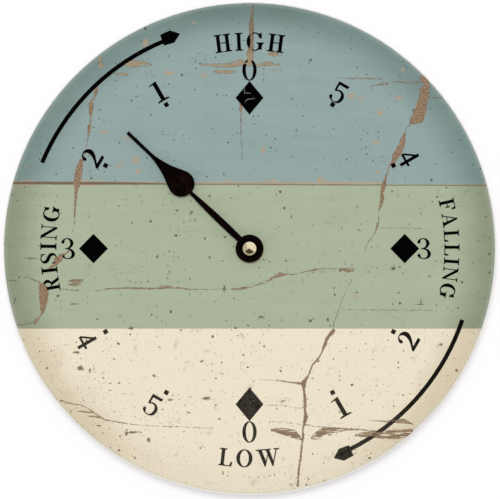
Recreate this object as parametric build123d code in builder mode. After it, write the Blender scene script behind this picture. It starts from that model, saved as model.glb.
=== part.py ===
from build123d import *
import os
from math import acos, cos, pi, radians, sin, tan

# Wall tide clock: a round printed board, one tide hand, and a battery movement behind the board.
# The dial faces -Y and +Z is up. Y = 0 is the wall, and X = Z = 0 is the axis of the hand.
# A value that ends in _out is a distance from the wall, towards the viewer.

# Dial board and its printed face
board_diameter = 267.0
board_thickness = 6.0
board_edge_round = 0.6
bare_edge_width = 0.7
print_thickness = 0.25

# Black print on the face
mark_thickness = 0.12
numeral_height = 11.4
numeral_inset = 34.9
diamond_inset = 49.7
tall_diamond_width = 15.1
tall_diamond_height = 18.2
side_diamond_width = 15.7
side_diamond_height = 16.0
dot_inset = 43.6
dot_width = 2.4
arrow_inset = 12.1
arrow_line_width = 2.3
arrow_starts = (157.5, 341.5)
arrow_sweep = 45.0
arrow_tip_rise = 0.8
arrow_head_length = 10.4
arrow_head_back = 0.6
arrow_shoulder = 4.5
arrow_head_width = 7.0
arrow_tail_width = 6.2
arrow_head_turn = 2.4
high_height = 9.7
high_inset = 21.5
high_spacing = 2.0
low_height = 9.5
low_inset = 20.0
low_spacing = 2.0
rising_height = 8.7
rising_inset = 24.7
rising_spacing = 1.7
falling_height = 8.2
falling_inset = 24.0
falling_spacing = 1.3

# Numeral, its share of the ring's radius, its bearing and its lean
numeral_places_shares = [
    ("0", 0.980, 90, 0),
    ("1", 0.995, 120, 30),
    ("2", 0.998, 150, 60),
    ("3", 0.995, 180, 0),
    ("4", 1.030, 209.5, -60),
    ("5", 1.012, 238.2, -30),
    ("0", 1.006, 270, 0),
    ("1", 1.003, 300, 30),
    ("2", 1.005, 330, 60),
    ("3", 0.958, 0, 0),
    ("4", 1.003, 29.6, -60),
    ("5", 0.984, 60.2, -30),
]

# Diamond: its bearing, its share of the ring's radius, its width and its height
diamonds = [
    (90, 0.973, tall_diamond_width, tall_diamond_height),
    (270, 1.005, tall_diamond_width, tall_diamond_height),
    (180, 1.007, side_diamond_width, side_diamond_height),
    (0, 1.002, side_diamond_width, side_diamond_height),
]

# Movement case
case_width = 56.0
case_depth = 16.5
case_wall = 1.2
case_front_wall = 1.5
bay_floor = 1.2
case_corner = 3.0
case_front_round = 0.8
pocket_corner = 1.8
cut_overrun = 1.0

# Battery cell and its play in the bay
cell_diameter = 14.5
cell_length = 50.5
cell_jacket = 0.2
cell_button_diameter = 5.5
cell_button_height = 1.0
cell_seal_thickness = 0.6
cell_edge_round = 0.5
cell_play = 0.3

# Clearances
slip_fit = 0.02
running_fit = 0.03
bush_running_fit = 0.05
pin_play = 0.05
free_gap = 0.15
stem_play = 0.3

# Threaded bush with its nut, washers and hanger
bush_diameter = 7.9
bush_flange_diameter = 11.0
bush_flange_thickness = 0.8
bush_flange_play = 0.1
bush_stand_out = 3.2
thread_pitch = 0.75
thread_depth = 0.4
hardware_play = 0.15
board_hole_play = 0.3
rubber_washer_diameter = 20.0
rubber_washer_thickness = 1.0
metal_washer_diameter = 14.0
metal_washer_thickness = 0.5
nut_across_flats = 12.0
nut_thickness = 2.2
nut_chamfer = 0.4
hanger_width = 18.0
hanger_thickness = 0.8
hanger_foot = 9.5
hanger_bend = 1.2
hanger_case_gap = 0.15
hanger_tab_height = 13.0
hanger_tab_corner = 5.0
hook_hole_diameter = 6.0
hook_hole_height = 35.5

# Gear train: tooth counts, modules and layers
tide_wheel_teeth = 40
minute_pinion_teeth = 11
minute_wheel_teeth = 41
centre_pinion_teeth = 12
centre_wheel_teeth = 80
third_wheel_teeth = 75
fourth_wheel_teeth = 60
fifth_wheel_teeth = 50
train_pinion_teeth = 10
setting_module = 0.36
train_module = 0.20
wheel_addendum_share = 0.70
pinion_addendum_share = 0.80
root_clearance_share = 0.35
tooth_thinning = 0.06
pressure_angle = radians(20)
wheel_thickness = 0.7
pinion_overhang = 0.25
first_layer_gap = 1.0
bridge_gap = 1.1
bridge_thickness = 1.0
bridge_well_gap = 1.2
bridge_rim = 2.4

# Bearings of one train axis from the one before, in degrees from +X towards +Z
minute_bearing = 180.0
centre_bearing = 62.0
third_bearing = 0.0
fourth_bearing = -10.0
fifth_bearing = 20.0
rotor_bearing = -75.0

# Arbors
arbor_diameter = 1.4
pivot_diameter = 1.0
pivot_depth = 1.0
stem_diameter = 2.0
tide_arbor_diameter = 3.6
tide_arbor_tail_diameter = 2.0
tide_arbor_collar_diameter = 5.2
tide_arbor_collar_thickness = 0.5
arbor_flat_width = 2.4
arbor_tip_diameter = 2.4
clutch_washer_diameter = 4.4
clutch_washer_thickness = 0.2
clutch_collar_diameter = 3.2
clutch_collar_thickness = 0.55
clutch_gap = 0.1

# Set knob and its well in the back cover
cover_thickness = 1.2
cover_clearance = 0.15
knob_diameter = 11.0
knob_thickness = 1.5
knob_recess = 0.4
knob_well_play = 0.8
knob_floor_gap = 0.3
knob_grip_count = 12
knob_grip_diameter = 1.6
knob_edge_chamfer = 0.3
well_wall = 1.0
hook_width = 4.0
hook_thickness = 1.0
hook_length = 3.2
hook_barb = 0.75
hook_barb_length = 1.2
hook_spacing = 30.0
hook_wall_gap = 0.25
hook_window_play = 0.2
ledge_depth = 1.2
ledge_length = 6.0
ledge_height = 2.0

# Bridge and motor posts in the case, as (x, z)
bridge_post_places = [(-15.3, 12.5), (20.3, 16.0), (23.5, -5.5), (-15.6, -8.0)]
post_diameter = 2.4
post_pin_diameter = 1.2
post_pin_stand = 0.4
motor_post_diameter = 2.6

# Stepping motor
magnet_diameter = 5.4
magnet_length = 3.0
stator_thickness = 0.8
stator_gap = 0.4
stator_ring_width = 2.2
stator_leg_width = 2.9
left_leg_x = 15.5
left_leg_top = 17.6
left_foot_x = 2.1
right_leg_x = 24.85
coil_axis_z = 21.6
core_thickness = 1.0
core_width = 3.0
core_tab_width = 5.0
core_end_margin = 1.4
bobbin_flange_diameter = 7.2
bobbin_flange_thickness = 0.8
bobbin_barrel_diameter = 3.8
bobbin_left_x = 4.3
bobbin_right_x = 22.1
bobbin_slot_play = 0.05
winding_diameter = 6.4
terminal_tab_low = 18.3
terminal_tab_high = 20.1
terminal_tab_reach = 2.6
terminal_tab_thickness = 0.5
screw_diameter = 1.5
screw_head_diameter = 2.6
screw_head_height = 0.7
screw_slot_width = 0.4
screw_slot_depth = 0.35
screw_engagement = 2.2

# Circuit board and what is on it
pcb_thickness = 1.0
pcb_left_x = -26.4
pcb_arm_width = 8.6
pcb_top_z = 26.0
pcb_top_arm_height = 8.4
pcb_right_x = 0.0
pcb_corner = 1.0
pcb_peg_places = [(-22.1, -6.5), (-22.1, 22.5), (-5.5, 23.2)]
pcb_peg_diameter = 2.4
pcb_pin_diameter = 1.2
chip_cover_at = (-22.0, 12.0)
chip_cover_diameter = 6.0
chip_cover_height = 1.3
chip_cover_round_share = 0.75
crystal_at = (-22.0, 0.0)
crystal_diameter = 2.0
crystal_length = 6.0
crystal_lead_length = 1.6
crystal_lead_diameter = 0.3
crystal_lead_spacing = 0.7

# Battery contacts
contact_thickness = 0.4
contact_width = 8.0
contact_bow_reach = 0.8
contact_bow_width = 6.0
contact_low_z = -24.0
contact_notch_margin = 0.3
contact_strip_width = 3.0
contact_strip_out = 11.0
contact_tab_top = -6.0
contact_dimple_diameter = 4.0
contact_dimple_height = 0.8
contact_dimple_taper = 30

# Hand, its bush and the cap nut
hand_angle = 136.4
hand_length = 90.6
hand_thickness = 0.5
hand_hub_diameter = 15.1
hand_hub_thickness = 1.0
hand_hub_chamfer = 0.35
hand_lift = 0.6
leaf_root_width = 2.5
leaf_middle = 24.5
leaf_middle_width = 3.6
leaf_neck = 43.3
leaf_neck_width = 1.84
bulb_centre = 50.7
bulb_diameter = 14.2
bulb_tail_start = 53.0
bulb_tail_middle = 60.6
bulb_tail_middle_width = 7.2
bulb_tail_late = 67.1
bulb_tail_late_width = 3.6
bulb_tail_end = 74.0
rod_width = 1.85
hand_bush_diameter = 5.0
hand_bush_flange_diameter = 7.4
hand_bush_flange_thickness = 0.3
cap_nut_diameter = 7.3
cap_nut_band = 0.6
cap_nut_height = 2.6
cap_nut_nose_diameter = 1.8
cap_nut_nose_round = 0.35
cap_nut_roof = 0.6

# Distances from the wall that follow from the sizes
wall_out = 0.0
chamber_floor_out = case_depth - case_front_wall
bay_floor_out = case_depth - bay_floor
hanger_front_out = case_depth + hanger_thickness
board_back_out = hanger_front_out + rubber_washer_thickness
board_front_out = board_back_out + board_thickness
print_front_out = board_front_out + print_thickness
nut_back_out = print_front_out + metal_washer_thickness
bush_end_out = print_front_out + bush_stand_out
hand_flange_back_out = bush_end_out + hand_lift - hand_bush_flange_thickness
hand_back_out = bush_end_out + hand_lift
hub_front_out = hand_back_out + hand_hub_thickness
cap_nut_back_out = hub_front_out
cap_nut_front_out = cap_nut_back_out + cap_nut_height
arbor_tip_out = cap_nut_front_out - cap_nut_roof

# Radii of the printed rings, each set in from the board's rim
rim_radius = board_diameter / 2
numeral_ring = rim_radius - numeral_inset
diamond_ring = rim_radius - diamond_inset
dot_ring = rim_radius - dot_inset
arrow_ring = rim_radius - arrow_inset
high_ring = rim_radius - high_inset
low_ring = rim_radius - low_inset
rising_ring = rim_radius - rising_inset
falling_ring = rim_radius - falling_inset

# Case pockets
half_case = case_width / 2
inner_half = half_case - case_wall
bay_height = cell_diameter + 2 * cell_play
bay_low_z = -inner_half
bay_high_z = bay_low_z + bay_height
chamber_low_z = bay_high_z + case_wall
cell_z = bay_low_z + bay_height / 2
cell_out = bay_floor_out - cell_play - cell_diameter / 2
knob_front_out = knob_recess + knob_thickness
well_floor_out = knob_front_out + knob_floor_gap
well_diameter = knob_diameter + 2 * knob_well_play
bridge_back_out = well_floor_out + well_wall + bridge_well_gap
bridge_front_out = bridge_back_out + bridge_thickness

# Layers of the train, counted from the front wall
tide_layer = 0
setting_layer = 1
centre_layer = 2
third_layer = 3
fourth_layer = 4
fifth_layer = 5
layer_pitch = (chamber_floor_out - first_layer_gap - bridge_gap - bridge_front_out) / fifth_layer

# Axes of the train
setting_distance = (minute_wheel_teeth + centre_pinion_teeth) * setting_module / 2
hand_module = 2 * setting_distance / (tide_wheel_teeth + minute_pinion_teeth)


def train_distance(wheel_teeth):
    """Centre distance of a train wheel and the small pinion that it meshes with."""
    return (wheel_teeth + train_pinion_teeth) * train_module / 2


def step_from(place, distance, bearing):
    """The point at a distance and bearing from another, as (x, z)."""
    turn = radians(bearing)
    return place[0] + distance * cos(turn), place[1] + distance * sin(turn)


shaft = (0, 0)
minute_axis = step_from(shaft, setting_distance, minute_bearing)
centre_axis = step_from(minute_axis, setting_distance, centre_bearing)
third_axis = step_from(centre_axis, train_distance(centre_wheel_teeth), third_bearing)
fourth_axis = step_from(third_axis, train_distance(third_wheel_teeth), fourth_bearing)
fifth_axis = step_from(fourth_axis, train_distance(fourth_wheel_teeth), fifth_bearing)
rotor_axis = step_from(fifth_axis, train_distance(fifth_wheel_teeth), rotor_bearing)


def layer_out(layer):
    """Middle plane of a wheel layer, counted from the front wall."""
    return chamber_floor_out - first_layer_gap - layer * layer_pitch


def front_plane(place, out):
    """A plane that faces the viewer, with its origin at a place on the dial."""
    return Plane(origin=(place[0], -out, place[1]), x_dir=(1, 0, 0), z_dir=(0, -1, 0))


def rod(place, back, front, diameter, mode=Mode.ADD):
    """A round bar along the viewing direction, added to the part in hand."""
    with BuildSketch(front_plane(place, back)) as profile:
        Circle(diameter / 2)
    extrude(profile.sketch, amount=front - back, mode=mode)


def ring(place, back, front, diameter, bore, mode=Mode.ADD):
    """A washer or tube along the viewing direction."""
    with BuildSketch(front_plane(place, back)) as profile:
        Circle(diameter / 2)
        Circle(bore / 2, mode=Mode.SUBTRACT)
    extrude(profile.sketch, amount=front - back, mode=mode)


def block(x_span, z_span, out_span, mode=Mode.ADD):
    """A straight block between two values in x, in z and in distance from the wall."""
    middle = ((x_span[0] + x_span[1]) / 2, (z_span[0] + z_span[1]) / 2)
    with BuildSketch(front_plane(middle, out_span[0])) as profile:
        Rectangle(x_span[1] - x_span[0], z_span[1] - z_span[0])
    extrude(profile.sketch, amount=out_span[1] - out_span[0], mode=mode)


def pocket(z_span, out_span, clearance, mode=Mode.SUBTRACT):
    """The rounded opening across the case, shrunk by a clearance."""
    middle = (0, (z_span[0] + z_span[1]) / 2)
    with BuildSketch(front_plane(middle, out_span[0])) as profile:
        RectangleRounded(
            2 * (inner_half - clearance),
            z_span[1] - z_span[0] - 2 * clearance,
            pocket_corner - clearance,
        )
    extrude(profile.sketch, amount=out_span[1] - out_span[0], mode=mode)


def tooth_outline(teeth, module, own_share, mate_share, turn):
    """Points of a spur gear's outline; turn is the direction of one tooth's middle."""
    pitch_radius = teeth * module / 2
    base_radius = pitch_radius * cos(pressure_angle)
    tip_radius = pitch_radius + own_share * module
    root_radius = pitch_radius - (mate_share + root_clearance_share) * module
    flank_foot = max(base_radius, root_radius)
    half_angle = pi / (2 * teeth) - tooth_thinning / 2 / pitch_radius
    half_angle += tan(pressure_angle) - pressure_angle
    flank = []
    for radius in (flank_foot, (flank_foot + tip_radius) / 2, tip_radius):
        roll = acos(min(1, base_radius / radius))
        flank.append((radius, half_angle - tan(roll) + roll))
    if root_radius < base_radius:
        flank.insert(0, (root_radius, flank[0][1]))
    outline = []
    for tooth in range(teeth):
        middle = turn + 2 * pi * tooth / teeth
        outline += [(radius * cos(middle - half), radius * sin(middle - half)) for radius, half in flank]
        outline += [
            (radius * cos(middle + half), radius * sin(middle + half)) for radius, half in reversed(flank)
        ]
    return outline


def toothed_disc(place, back, front, outline):
    """A toothed disc along the viewing direction."""
    with BuildSketch(front_plane(place, back)) as profile:
        with BuildLine():
            Polyline(*outline, close=True)
        make_face()
    extrude(profile.sketch, amount=front - back)


def wheel_disc(place, layer, teeth, module, mate_bearing):
    """A wheel whose tooth gap faces its pinion, in the middle of a layer."""
    turn = radians(mate_bearing) + pi / teeth
    outline = tooth_outline(teeth, module, wheel_addendum_share, pinion_addendum_share, turn)
    middle = layer_out(layer)
    toothed_disc(place, middle - wheel_thickness / 2, middle + wheel_thickness / 2, outline)


def pinion_leaves(place, back, front, teeth, module, mate_bearing):
    """A pinion with one leaf pointing at its wheel."""
    outline = tooth_outline(
        teeth, module, pinion_addendum_share, wheel_addendum_share, radians(mate_bearing)
    )
    toothed_disc(place, back, front, outline)


def pivoted_arbor(place):
    """A thin arbor between the bridge and the front wall, with a pivot at each end."""
    rod(place, bridge_front_out + free_gap, chamber_floor_out - free_gap, arbor_diameter)
    rod(place, bridge_back_out, bridge_front_out + free_gap, pivot_diameter)
    rod(place, chamber_floor_out - free_gap, chamber_floor_out + pivot_depth - free_gap, pivot_diameter)


def save(part, name):
    """Label a finished piece and write its file."""
    part.label = name
    export_step(part, f"parts/{name}.step")


# Shapes of the printed figures and capitals, drawn one unit high from hand-chosen shares.
# Each entry of a glyph is a filled outline, and each point is a share of the figure's height.
stem_share = 0.20
serif_share = 0.045
bracket_share = 0.09
serif_reach_share = 0.12
hairline_share = 0.055


def curved_outline(*run_shares):
    """Fill an outline of curves; each run of points is one smooth curve, two points are a line."""
    with BuildLine() as outline:
        for run in run_shares:
            if len(run) > 2:
                Spline(*run)
            else:
                Line(*run)
    make_face(outline.edges())


def straight_outline(*shares, mode=Mode.ADD):
    """Fill a straight-sided outline."""
    Polygon(*shares, align=None, mode=mode)


def oval(centre_shares, half_width_share, half_height_share, mode=Mode.ADD):
    """Fill an ellipse."""
    with Locations(centre_shares):
        Ellipse(half_width_share, half_height_share, mode=mode)


def foot_serif(left_share, right_share, base_share, up=1):
    """A bracketed serif under (up = 1) or over (up = -1) a stem's end."""
    straight_outline(
        (left_share - serif_reach_share, base_share),
        (right_share + serif_reach_share, base_share),
        (right_share + serif_reach_share, base_share + up * serif_share),
        (right_share, base_share + up * bracket_share),
        (left_share, base_share + up * bracket_share),
        (left_share - serif_reach_share, base_share + up * serif_share),
    )


def stem(left_share, width_share=stem_share):
    """An upright stroke with a serif at each end."""
    right_share = left_share + width_share
    straight_outline((left_share, 0), (right_share, 0), (right_share, 1), (left_share, 1))
    foot_serif(left_share, right_share, 0)
    foot_serif(left_share, right_share, 1, up=-1)


def bar(x_shares, z_shares):
    """A level or upright bar between two shares each way."""
    straight_outline(
        (x_shares[0], z_shares[0]),
        (x_shares[1], z_shares[0]),
        (x_shares[1], z_shares[1]),
        (x_shares[0], z_shares[1]),
    )


def figure_zero():
    oval((0.33, 0.5), 0.34, 0.51)
    oval((0.33, 0.5), 0.175, 0.455, mode=Mode.SUBTRACT)


def figure_one():
    straight_outline((0.29, 0), (0.49, 0), (0.49, 1), (0.42, 1), (0.09, 0.94), (0.09, 0.90), (0.29, 0.9))
    foot_serif(0.20, 0.58, 0)


def figure_two():
    curved_outline(
        [(0.21, 0.15), (0.45, 0.36), (0.60, 0.54), (0.65, 0.73), (0.55, 0.92), (0.33, 1.0),
         (0.13, 0.93), (0.02, 0.76)],
        [(0.02, 0.76), (0.10, 0.66), (0.20, 0.76)],
        [(0.20, 0.76), (0.20, 0.88), (0.30, 0.945), (0.40, 0.86), (0.43, 0.69), (0.36, 0.49),
         (0.20, 0.28), (0, 0.10)],
        [(0, 0.10), (0, 0)],
        [(0, 0), (0.65, 0)],
        [(0.65, 0), (0.68, 0.15)],
        [(0.68, 0.15), (0.21, 0.15)],
    )


def figure_three():
    curved_outline(
        [(0.02, 0.80), (0.13, 0.95), (0.32, 1.0), (0.52, 0.92), (0.60, 0.75), (0.53, 0.60), (0.41, 0.51)],
        [(0.41, 0.51), (0.59, 0.41), (0.67, 0.25), (0.58, 0.07), (0.35, 0), (0.13, 0.05), (0.02, 0.18)],
        [(0.02, 0.18), (0.09, 0.26), (0.18, 0.18)],
        [(0.18, 0.18), (0.21, 0.08), (0.34, 0.045), (0.47, 0.12), (0.51, 0.25), (0.46, 0.39), (0.31, 0.465),
         (0.20, 0.465)],
        [(0.20, 0.465), (0.20, 0.52)],
        [(0.20, 0.52), (0.32, 0.54), (0.41, 0.62), (0.445, 0.74), (0.41, 0.87), (0.31, 0.955),
         (0.21, 0.93), (0.18, 0.82)],
        [(0.18, 0.82), (0.10, 0.73), (0.02, 0.80)],
    )


def figure_four():
    bar((0.35, 0.50), (0, 1))
    bar((0, 0.66), (0.275, 0.385))
    straight_outline((0, 0.33), (0, 0.40), (0.43, 1), (0.50, 1), (0.50, 0.94), (0.06, 0.33))


def figure_five():
    straight_outline((0.10, 1), (0.10, 0.55), (0.16, 0.51), (0.20, 0.60), (0.20, 1))
    straight_outline((0.10, 0.86), (0.63, 0.86), (0.66, 1), (0.10, 1))
    curved_outline(
        [(0.13, 0.53), (0.30, 0.64), (0.50, 0.62), (0.64, 0.50), (0.68, 0.33), (0.60, 0.10), (0.38, 0),
         (0.15, 0.04), (0.01, 0.18)],
        [(0.01, 0.18), (0.09, 0.29), (0.18, 0.18)],
        [(0.18, 0.18), (0.22, 0.075), (0.36, 0.05), (0.48, 0.15), (0.52, 0.32), (0.47, 0.50), (0.35, 0.565),
         (0.22, 0.53), (0.16, 0.48)],
        [(0.16, 0.48), (0.13, 0.53)],
    )


def capital_h():
    stem(0.12)
    stem(0.62)
    bar((0.30, 0.64), (0.49, 0.545))


def capital_i():
    stem(0.12)


def capital_l():
    stem(0.12)
    bar((0.30, 0.76), (0, hairline_share))
    straight_outline((0.70, 0.27), (0.62, 0.05), (0.62, 0), (0.76, 0), (0.78, 0.27))


def capital_f():
    stem(0.12)
    bar((0.30, 0.74), (1 - hairline_share, 1))
    straight_outline((0.68, 0.73), (0.60, 0.95), (0.60, 1), (0.74, 1), (0.76, 0.73))
    bar((0.30, 0.56), (0.475, 0.53))
    straight_outline((0.53, 0.35), (0.58, 0.35), (0.58, 0.66), (0.53, 0.66), (0.48, 0.53), (0.48, 0.475))


def capital_g():
    oval((0.46, 0.5), 0.46, 0.515)
    oval((0.48, 0.5), 0.255, 0.455, mode=Mode.SUBTRACT)
    straight_outline((0.62, 0.40), (0.98, 0.40), (0.98, 0.78), (0.62, 0.66), mode=Mode.SUBTRACT)
    straight_outline((0.80, 1), (0.84, 1), (0.84, 0.66), (0.79, 0.66), (0.66, 0.90), (0.70, 0.95))
    bar((0.66, 0.86), (0.06, 0.42))
    foot_serif(0.66, 0.86, 0.46, up=-1)


def capital_o():
    oval((0.46, 0.5), 0.46, 0.515)
    oval((0.46, 0.5), 0.25, 0.455, mode=Mode.SUBTRACT)


def capital_w():
    straight_outline((0.06, 1), (0.28, 1), (0.50, 0.26), (0.44, 0), (0.38, 0))
    straight_outline((0.38, 0), (0.44, 0), (0.72, 0.90), (0.66, 0.90))
    straight_outline((0.50, 1), (0.71, 1), (0.92, 0.26), (0.88, 0), (0.82, 0))
    straight_outline((0.82, 0), (0.88, 0), (1.17, 1), (1.10, 1))
    for left_share, right_share in ((0.06, 0.28), (0.50, 0.71), (1.08, 1.18)):
        foot_serif(left_share, right_share, 1, up=-1)


def capital_r():
    oval((0.48, 0.745), 0.28, 0.255)
    bar((0.30, 0.48), (0.49, 1))
    oval((0.44, 0.745), 0.12, 0.20, mode=Mode.SUBTRACT)
    straight_outline((0.30, 0.545), (0.44, 0.545), (0.44, 0.945), (0.30, 0.945), mode=Mode.SUBTRACT)
    straight_outline((0.36, 0.52), (0.56, 0.53), (0.80, 0.05), (0.90, 0.05), (0.90, 0), (0.62, 0))
    stem(0.12)


def capital_s():
    curved_outline(
        [(0.58, 0.70), (0.50, 0.88), (0.34, 0.955), (0.19, 0.86), (0.24, 0.71), (0.44, 0.58), (0.62, 0.45),
         (0.68, 0.26), (0.58, 0.07), (0.36, -0.015), (0.20, 0.02), (0.10, 0.06)],
        [(0.10, 0.06), (0.07, 0)],
        [(0.07, 0), (0.03, 0)],
        [(0.03, 0), (0.02, 0.33)],
        [(0.02, 0.33), (0.07, 0.33)],
        [(0.07, 0.33), (0.17, 0.12), (0.35, 0.045), (0.50, 0.13), (0.48, 0.29), (0.30, 0.42), (0.10, 0.55),
         (0.03, 0.73), (0.12, 0.93), (0.34, 1.015), (0.48, 0.98), (0.56, 0.94)],
        [(0.56, 0.94), (0.59, 1)],
        [(0.59, 1), (0.62, 1)],
        [(0.62, 1), (0.63, 0.70)],
        [(0.63, 0.70), (0.58, 0.70)],
    )


def capital_n():
    bar((0.12, 0.12 + hairline_share), (0, 1))
    bar((0.76, 0.76 + hairline_share), (0, 1))
    straight_outline((0.02, 1), (0.24, 1), (0.815, 0.14), (0.815, 0), (0.72, 0))
    foot_serif(0.12, 0.12 + hairline_share, 0)
    foot_serif(0.76, 0.76 + hairline_share, 1, up=-1)
    straight_outline((0, 0.96), (0, 1), (0.20, 1), (0.12, 0.91))


def capital_a():
    straight_outline((0.12, 0), (0.18, 0), (0.48, 0.93), (0.42, 1))
    straight_outline((0.38, 1), (0.50, 1), (0.86, 0), (0.64, 0))
    bar((0.26, 0.66), (0.29, 0.345))
    foot_serif(0.12, 0.18, 0)
    foot_serif(0.64, 0.86, 0)


glyph_makers = {
    "0": figure_zero, "1": figure_one, "2": figure_two, "3": figure_three, "4": figure_four, "5": figure_five,
    "H": capital_h, "I": capital_i, "L": capital_l, "F": capital_f, "G": capital_g, "O": capital_o,
    "W": capital_w, "R": capital_r, "S": capital_s, "N": capital_n, "A": capital_a,
}
glyphs = {}
for sign, maker in glyph_makers.items():
    with BuildSketch() as drawn:
        maker()
    glyphs[sign] = drawn.sketch


def printed_sign(sign, height, place, lean):
    """One sign at a height, its middle at a place in x and z, turned by lean degrees."""
    scaled = glyphs[sign].scale(height)
    box = scaled.bounding_box()
    middle = (box.min + box.max) / 2
    centring = Location((-middle.X, -middle.Y, 0))
    return scaled.moved(Location((place[0], place[1], 0), (0, 0, lean)) * centring)


def ring_place(radius, bearing):
    """A point of the dial at a radius and bearing from the hand's axis."""
    return step_from(shaft, radius, bearing)


os.makedirs("parts", exist_ok=True)

# Dial board: painted fibreboard with a softened front edge
with BuildPart() as dial_board:
    rod(shaft, board_back_out, board_front_out, board_diameter)
    fillet(dial_board.faces().sort_by(Axis.Y)[0].edges(), board_edge_round)
    with Locations(front_plane(shaft, board_front_out)):
        Hole(bush_diameter / 2 + board_hole_play)
save(dial_board.part, "dial_board")

# Printed face: the thin sheet that carries the picture of painted planks
with BuildPart() as dial_print:
    ring(
        shaft,
        board_front_out,
        print_front_out,
        board_diameter - 2 * bare_edge_width,
        bush_diameter + 2 * board_hole_play,
    )
save(dial_print.part, "dial_print")

# Printed numerals
with BuildPart() as dial_numerals:
    with BuildSketch(front_plane(shaft, print_front_out)):
        for sign, ring_share, bearing, lean in numeral_places_shares:
            add(printed_sign(sign, numeral_height, ring_place(numeral_ring * ring_share, bearing), lean))
    extrude(amount=mark_thickness)
save(dial_numerals.part, "dial_numerals")

# Printed diamonds at the quarters and square dots at the hours between
with BuildPart() as dial_markers:
    with BuildSketch(front_plane(shaft, print_front_out)):
        for bearing, ring_share, width, height in diamonds:
            half_width = width / 2
            half_height = height / 2
            with Locations(ring_place(diamond_ring * ring_share, bearing)):
                Polygon((-half_width, 0), (0, -half_height), (half_width, 0), (0, half_height), align=None)
        for quarter in (0, 90, 180, 270):
            for bearing in (quarter + 30, quarter + 60):
                place = ring_place(dot_ring, bearing)
                with Locations(Location((place[0], place[1], 0), (0, 0, bearing))):
                    Rectangle(dot_width, dot_width)
    extrude(amount=mark_thickness)
save(dial_markers.part, "dial_markers")

# Two bent arrows near the rim, both pointing clockwise
with BuildPart() as dial_arrows:
    with BuildSketch(front_plane(shaft, print_front_out)):
        for start in arrow_starts:
            inner = arrow_ring - arrow_line_width / 2
            outer = arrow_ring + arrow_line_width / 2
            end = start - arrow_sweep
            with BuildLine():
                ThreePointArc(*(ring_place(outer, start - arrow_sweep * part / 2) for part in (0, 1, 2)))
                Line(ring_place(outer, end), ring_place(inner, end))
                ThreePointArc(*(ring_place(inner, end + arrow_sweep * part / 2) for part in (0, 1, 2)))
                Line(ring_place(inner, start), ring_place(outer, start))
            make_face()
            tip = ring_place(arrow_ring + arrow_tip_rise, end)
            with Locations(Location((tip[0], tip[1], 0), (0, 0, end - 90 - arrow_head_turn))):
                Polygon(
                    (arrow_head_length - arrow_head_back, 0),
                    (arrow_head_length - arrow_head_back - arrow_shoulder, arrow_head_width / 2),
                    (-arrow_head_back, arrow_tail_width / 2),
                    (-arrow_head_back, -arrow_tail_width / 2),
                    (arrow_head_length - arrow_head_back - arrow_shoulder, -arrow_head_width / 2),
                    align=None,
                )
    extrude(amount=mark_thickness)
save(dial_arrows.part, "dial_arrows")


def printed_word(word, height, ring, middle_bearing, inward, spacing):
    """Add a word along a ring, its letters evenly spaced; inward words read along the bottom."""
    turn = 1 if inward else -1
    widths = [glyphs[sign].bounding_box().size.X * height for sign in word]
    length = sum(widths) + spacing * (len(word) - 1)
    along = -length / 2
    for sign, width in zip(word, widths):
        bearing = middle_bearing + turn * (along + width / 2) / ring * 180 / pi
        lean = bearing + 90 if inward else bearing - 90
        add(printed_sign(sign, height, ring_place(ring, bearing), lean))
        along += width + spacing


# Plain function words beside the scale, as on any dial of this kind
with BuildPart() as dial_legends:
    with BuildSketch(front_plane(shaft, print_front_out)):
        printed_word("HIGH", high_height, high_ring, 90, False, high_spacing)
        printed_word("LOW", low_height, low_ring, 270, True, low_spacing)
        printed_word("RISING", rising_height, rising_ring, 180, False, rising_spacing)
        printed_word("FALLING", falling_height, falling_ring, 0, False, falling_spacing)
    extrude(amount=mark_thickness)
save(dial_legends.part, "dial_legends")

# Washers under and over the board
with BuildPart() as rubber_washer:
    ring(
        shaft,
        hanger_front_out,
        board_back_out,
        rubber_washer_diameter,
        bush_diameter + 2 * hardware_play,
    )
save(rubber_washer.part, "rubber_washer")

with BuildPart() as metal_washer:
    ring(
        shaft,
        print_front_out,
        nut_back_out,
        metal_washer_diameter,
        bush_diameter + 2 * hardware_play,
    )
save(metal_washer.part, "metal_washer")

# Hexagon nut that clamps the movement to the board
with BuildPart() as hex_nut:
    with BuildSketch(front_plane(shaft, nut_back_out)):
        RegularPolygon(nut_across_flats / 2, 6, major_radius=False)
        Circle(bush_diameter / 2 + slip_fit, mode=Mode.SUBTRACT)
    extrude(amount=nut_thickness)
    nut_front_edges = hex_nut.faces().sort_by(Axis.Y)[0].outer_wire().edges()
    chamfer(nut_front_edges, nut_chamfer)
save(hex_nut.part, "hex_nut")

# Threaded bush: a flange inside the case, and ring grooves for its thread
thread_start_out = hanger_front_out
thread_count = int((bush_end_out - thread_start_out) / thread_pitch)
bush_profile = [
    (tide_arbor_diameter / 2 + bush_running_fit, -chamber_floor_out),
    (bush_flange_diameter / 2, -chamber_floor_out),
    (bush_flange_diameter / 2, -(chamber_floor_out + bush_flange_thickness)),
    (bush_diameter / 2, -(chamber_floor_out + bush_flange_thickness)),
]
for turn in range(thread_count):
    groove_out = thread_start_out + turn * thread_pitch
    bush_profile.append((bush_diameter / 2, -groove_out))
    bush_profile.append((bush_diameter / 2 - thread_depth, -(groove_out + thread_pitch / 2)))
bush_profile.append((bush_diameter / 2, -(thread_start_out + thread_count * thread_pitch)))
bush_profile.append((bush_diameter / 2, -bush_end_out))
bush_profile.append((tide_arbor_diameter / 2 + bush_running_fit, -bush_end_out))
with BuildPart() as threaded_bush:
    with BuildSketch(Plane.XY):
        with BuildLine():
            Polyline(*bush_profile, close=True)
        make_face()
    revolve(axis=Axis.Y)
save(threaded_bush.part, "threaded_bush")

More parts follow.
